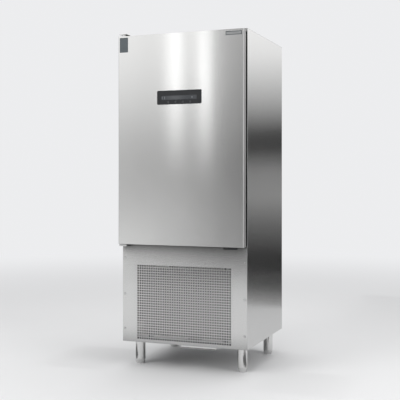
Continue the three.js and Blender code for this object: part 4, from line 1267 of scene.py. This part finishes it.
class CHILLER_OT_eased_pieces(Maker):
    """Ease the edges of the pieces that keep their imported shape"""

    bl_idname = "chiller.eased_pieces"
    bl_label = "Machinery, Base, Switch and Pins"

    def make(self, sizes, counts):
        for name, node, slot, width, segments, angle in (
            ("base_pan", "base_tray", "galvanised_sheet", 0.4, 2, 38),
            ("drip_guide", "tray_guide", "galvanised_sheet", 0.4, 2, 38),
            ("switch_housing", "door_switch", "black_plastic", 0.9, 3, 38),
            ("upper_pin", "top_hinge_pin", "bright_steel", 0.5, 2, 38),
            ("lower_pin", "bottom_hinge_pin", "bright_steel", 0.5, 2, 38),
            ("compressor_pot", "compressor", "black_paint", 2.0, 2, 46),
            ("receiver_vessel", "liquid_receiver", "black_paint", 1.5, 2, 46),
            ("lower_motor", "fan_motor_lower", "black_paint", 1.0, 2, 46),
            ("upper_motor", "fan_motor_upper", "black_paint", 1.0, 2, 46),
            ("condenser_motor", "condenser_fan_motor", "black_paint", 1.0, 2, 46),
            ("wiring_box", "electrical_box", "galvanised_sheet", 0.6, 2, 46),
            ("supply_gland", "cable_gland", "black_plastic", 0.6, 2, 46),
            ("drain_tube", "drain_pipe", "frame_plastic", 0.5, 2, 46),
            ("suction_line", "suction_pipe", "copper", 0.2, 2, 46),
            ("discharge_line", "discharge_pipe", "copper", 0.2, 2, 46),
        ):
            fit(ease(traced(name, node), width * MM, segments), slot, node, angle=angle)


# ---- Stage --------------------------------------------------------------------------------


def card(name, low, high, across, up, level, stands="z"):
    """A soft card that only glossy surfaces see; its tone changes across it and up it.

    Both changes are lists of (place, tone) pairs. The card stands on edge, or with stands="y" lies flat.
    """
    low, high = Vector(low), Vector(high)
    turn = TURNS["y"] if stands == "z" else (0, 0, 0)
    bpy.ops.mesh.primitive_plane_add(size=1, rotation=turn, location=(low + high) / 2)
    obj = bpy.context.active_object
    bottom, top = getattr(low, stands), getattr(high, stands)
    obj.scale = (high.x - low.x, top - bottom, 1)
    obj = newest(name)
    paint = new_paint(name)

    def along(axis, start, end, stops):
        share = paint.node("MapRange", paint.axis(axis), start, end, 0.0, 1.0)
        shares = [((place - start) / (end - start), tone) for place, tone in stops]
        return paint.node("SeparateXYZ", paint.node("ValToRGB", share, stops=shares))

    glow = along("x", low.x, high.x, across) * along(stands, bottom, top, up)
    paint.end(paint.node("Emission", glow, level))
    obj.data.materials.append(finishes[name])
    for ray in ("camera", "diffuse", "transmission", "volume_scatter", "shadow"):
        setattr(obj, "visible_" + ray, False)


def lamp(name, place, aim, size, energy):
    light = bpy.data.lights.new(name, "AREA")
    light.size, light.energy = size, energy
    obj = bpy.data.objects.new(name, light)
    obj.location = place
    obj.rotation_euler = (Vector(aim) - Vector(place)).to_track_quat("-Z", "Y").to_euler()
    obj.visible_glossy = False
    bpy.context.scene.collection.objects.link(obj)


class CHILLER_OT_stage(bpy.types.Operator):
    """Set up the floor, the soft light, the cards and the camera"""

    bl_idname = "chiller.stage"
    bl_label = "Studio"
    bl_options = {"REGISTER"}

    def execute(self, context):
        self.floor(tuple(context.scene.chiller_colours.floor))
        self.air()
        self.cards()
        lamp("key", (-2.6, -4.2, 3.6), (0, 0, 1.0), 2.6, 110)
        lamp("fill", (3.8, -1.5, 2.6), (0, 0, 1.0), 2.6, 60)
        lamp("overhead", (0.2, 0.6, 4.6), (0, 0, 1.0), 3.0, 60)
        self.camera()
        context.scene.view_settings.view_transform = "Standard"
        return {"FINISHED"}

    def floor(self, base):
        bpy.ops.mesh.primitive_circle_add(vertices=64, radius=40, fill_type="NGON")
        floor = newest("studio_floor")
        paint = new_paint("floor")
        cloud = paint.noise((1.3, 1.3, 1.3), detail=3.0)
        self.fade(paint, paint.shader(paint.mix(cloud, tone(base, 0.985), tone(base, 1.015)), 0.7))
        floor.data.materials.append(finishes["floor"])

    def fade(self, paint, shader):
        """Lets the far floor pass into the backdrop's tone where the camera sees it."""
        distance = paint.node("VectorMath", paint.place(), operation="LENGTH", out=1)
        share = paint.band(distance, 1.6, 7.5) * paint.node("LightPath")
        glow = paint.node("Emission", BACKDROP_TINT, BACKDROP)
        paint.end(paint.node("MixShader", share, shader, glow))

    def air(self):
        world = bpy.data.worlds.new("studio")
        bpy.context.scene.world = world
        world.use_nodes = True
        paint = Paint(world.node_tree)
        camera, glossy, transmission = (paint.node("LightPath", out=index) for index in (0, 3, 6))
        seen = paint.node("Math", camera + glossy + transmission, 1.0, operation="MINIMUM")
        strength = AIR + seen * (BACKDROP - AIR)
        paint.end(paint.node("Background", BACKDROP_TINT, strength), "World")

    def cards(self):
        card("door_card", (-4.2, -5.3, 0.0), (0.6, -5.3, 4.6),
             [(-4.2, 0.8), (-3.0, 1.0), (-2.0, 0.8), (-1.3, 0.42), (-0.9, 0.36), (0.6, 0.45)],
             [(0.0, 0.9), (0.4, 0.75), (0.6, 0.6), (1.06, 0.3),
              (1.6, 0.4), (2.2, 0.8), (2.9, 1.0)], 1.5)
        for x in (-1.2785, -0.976):
            card("strip", (x - 0.055, -3.4, 1.15), (x + 0.055, -3.4, 3.0), [(x, 1.0)],
                 [(1.15, 0.0), (1.55, 0.5), (1.95, 1.0), (3.0, 0.9)], 2.6)
        card("low_card", (-2.4, -5.25, 0.0), (0.2, -5.25, 0.3),
             [(-2.4, 0.9), (-1.9, 0.5), (-1.45, 0.1), (0.2, 0.05)], [(0.0, 1.0), (0.3, 0.8)], 1.0)
        card("right_flag", (0.48, -0.62, 0.002), (1.0, -0.12, 0.002),
             [(0.48, 0.35), (0.55, 0.12), (0.8, 0.12), (1.0, 0.5)], [(-0.62, 1.0)], 1.0, "y")
        card("left_flag", (-0.95, -0.5, 0.002), (-0.46, 0.1, 0.002),
             [(-0.95, 0.5), (-0.8, 0.14), (-0.53, 0.14), (-0.46, 0.35)], [(-0.5, 1.0)], 1.0, "y")
        card("right_low_card", (0.45, 2.2, 0.0), (6.5, 2.2, 0.3), [(0.45, 1.0)],
             [(0.0, 0.39), (0.07, 0.27), (0.15, 0.12), (0.2, 0.08), (0.3, 0.06)], 1.0)
        card("right_card", (0.45, 3.2, 0.0), (6.5, 3.2, 4.6), [(0.45, 1.0)],
             [(0.0, 0.03), (0.35, 0.03), (0.65, 0.16), (0.95, 0.34), (1.2, 0.3), (1.45, 0.04), (1.6, 0.06),
              (1.9, 0.5), (2.4, 1.1), (2.8, 1.3)], 1.0)

    def camera(self):
        lens = bpy.data.cameras.new("camera")
        lens.lens, lens.sensor_width = 73.58, 36.0
        lens.shift_y = -0.0538
        lens.clip_end = 200
        camera = bpy.data.objects.new("camera", lens)
        camera.location = (1.8208, -4.81315, 1.1366)
        camera.rotation_euler = (math.pi / 2, 0, 0.3664)
        bpy.context.scene.collection.objects.link(camera)
        bpy.context.scene.camera = camera


# ---- Panel and registration ---------------------------------------------------------------

MAKERS = (
    CHILLER_OT_finishes,
    CHILLER_OT_side_panels,
    CHILLER_OT_top_panel,
    CHILLER_OT_back_panels,
    CHILLER_OT_door_pan,
    CHILLER_OT_door_edge,
    CHILLER_OT_door_inside,
    CHILLER_OT_control_panel,
    CHILLER_OT_plates,
    CHILLER_OT_lower_panel,
    CHILLER_OT_screws,
    CHILLER_OT_legs,
    CHILLER_OT_drip_tray,
    CHILLER_OT_hinge,
    CHILLER_OT_chamber,
    CHILLER_OT_racks,
    CHILLER_OT_fan_wall,
    CHILLER_OT_fans,
    CHILLER_OT_coils,
    CHILLER_OT_eased_pieces,
    CHILLER_OT_stage,
)


class CHILLER_PT_sidebar(bpy.types.Panel):
    """Sizes, colours and pieces of the chiller"""

    bl_idname = "CHILLER_PT_sidebar"
    bl_label = "Blast Chiller"
    bl_space_type = "VIEW_3D"
    bl_region_type = "UI"
    bl_category = "Chiller"

    def draw(self, context):
        column = self.layout.column(align=True)
        for holder, kind in GROUPS:
            for name in kind.__annotations__:
                column.prop(getattr(context.scene, holder), name)
        for maker in MAKERS:
            self.layout.operator(maker.bl_idname)


GROUPS = (
    ("chiller_sizes", ChillerSizes),
    ("chiller_counts", ChillerCounts),
    ("chiller_colours", ChillerColours),
)


def register():
    for _, group in GROUPS:
        bpy.utils.register_class(group)
    for maker in (*MAKERS, CHILLER_PT_sidebar):
        bpy.utils.register_class(maker)
    for name, group in GROUPS:
        setattr(bpy.types.Scene, name, PointerProperty(type=group))


def unregister():
    for name, _ in GROUPS:
        delattr(bpy.types.Scene, name)
    for maker in (CHILLER_PT_sidebar, *reversed(MAKERS)):
        bpy.utils.unregister_class(maker)
    for _, group in reversed(GROUPS):
        bpy.utils.unregister_class(group)


def main():
    register()
    for maker in MAKERS:
        family, name = maker.bl_idname.split(".")
        getattr(getattr(bpy.ops, family), name)()


if __name__ == "__main__":
    main()
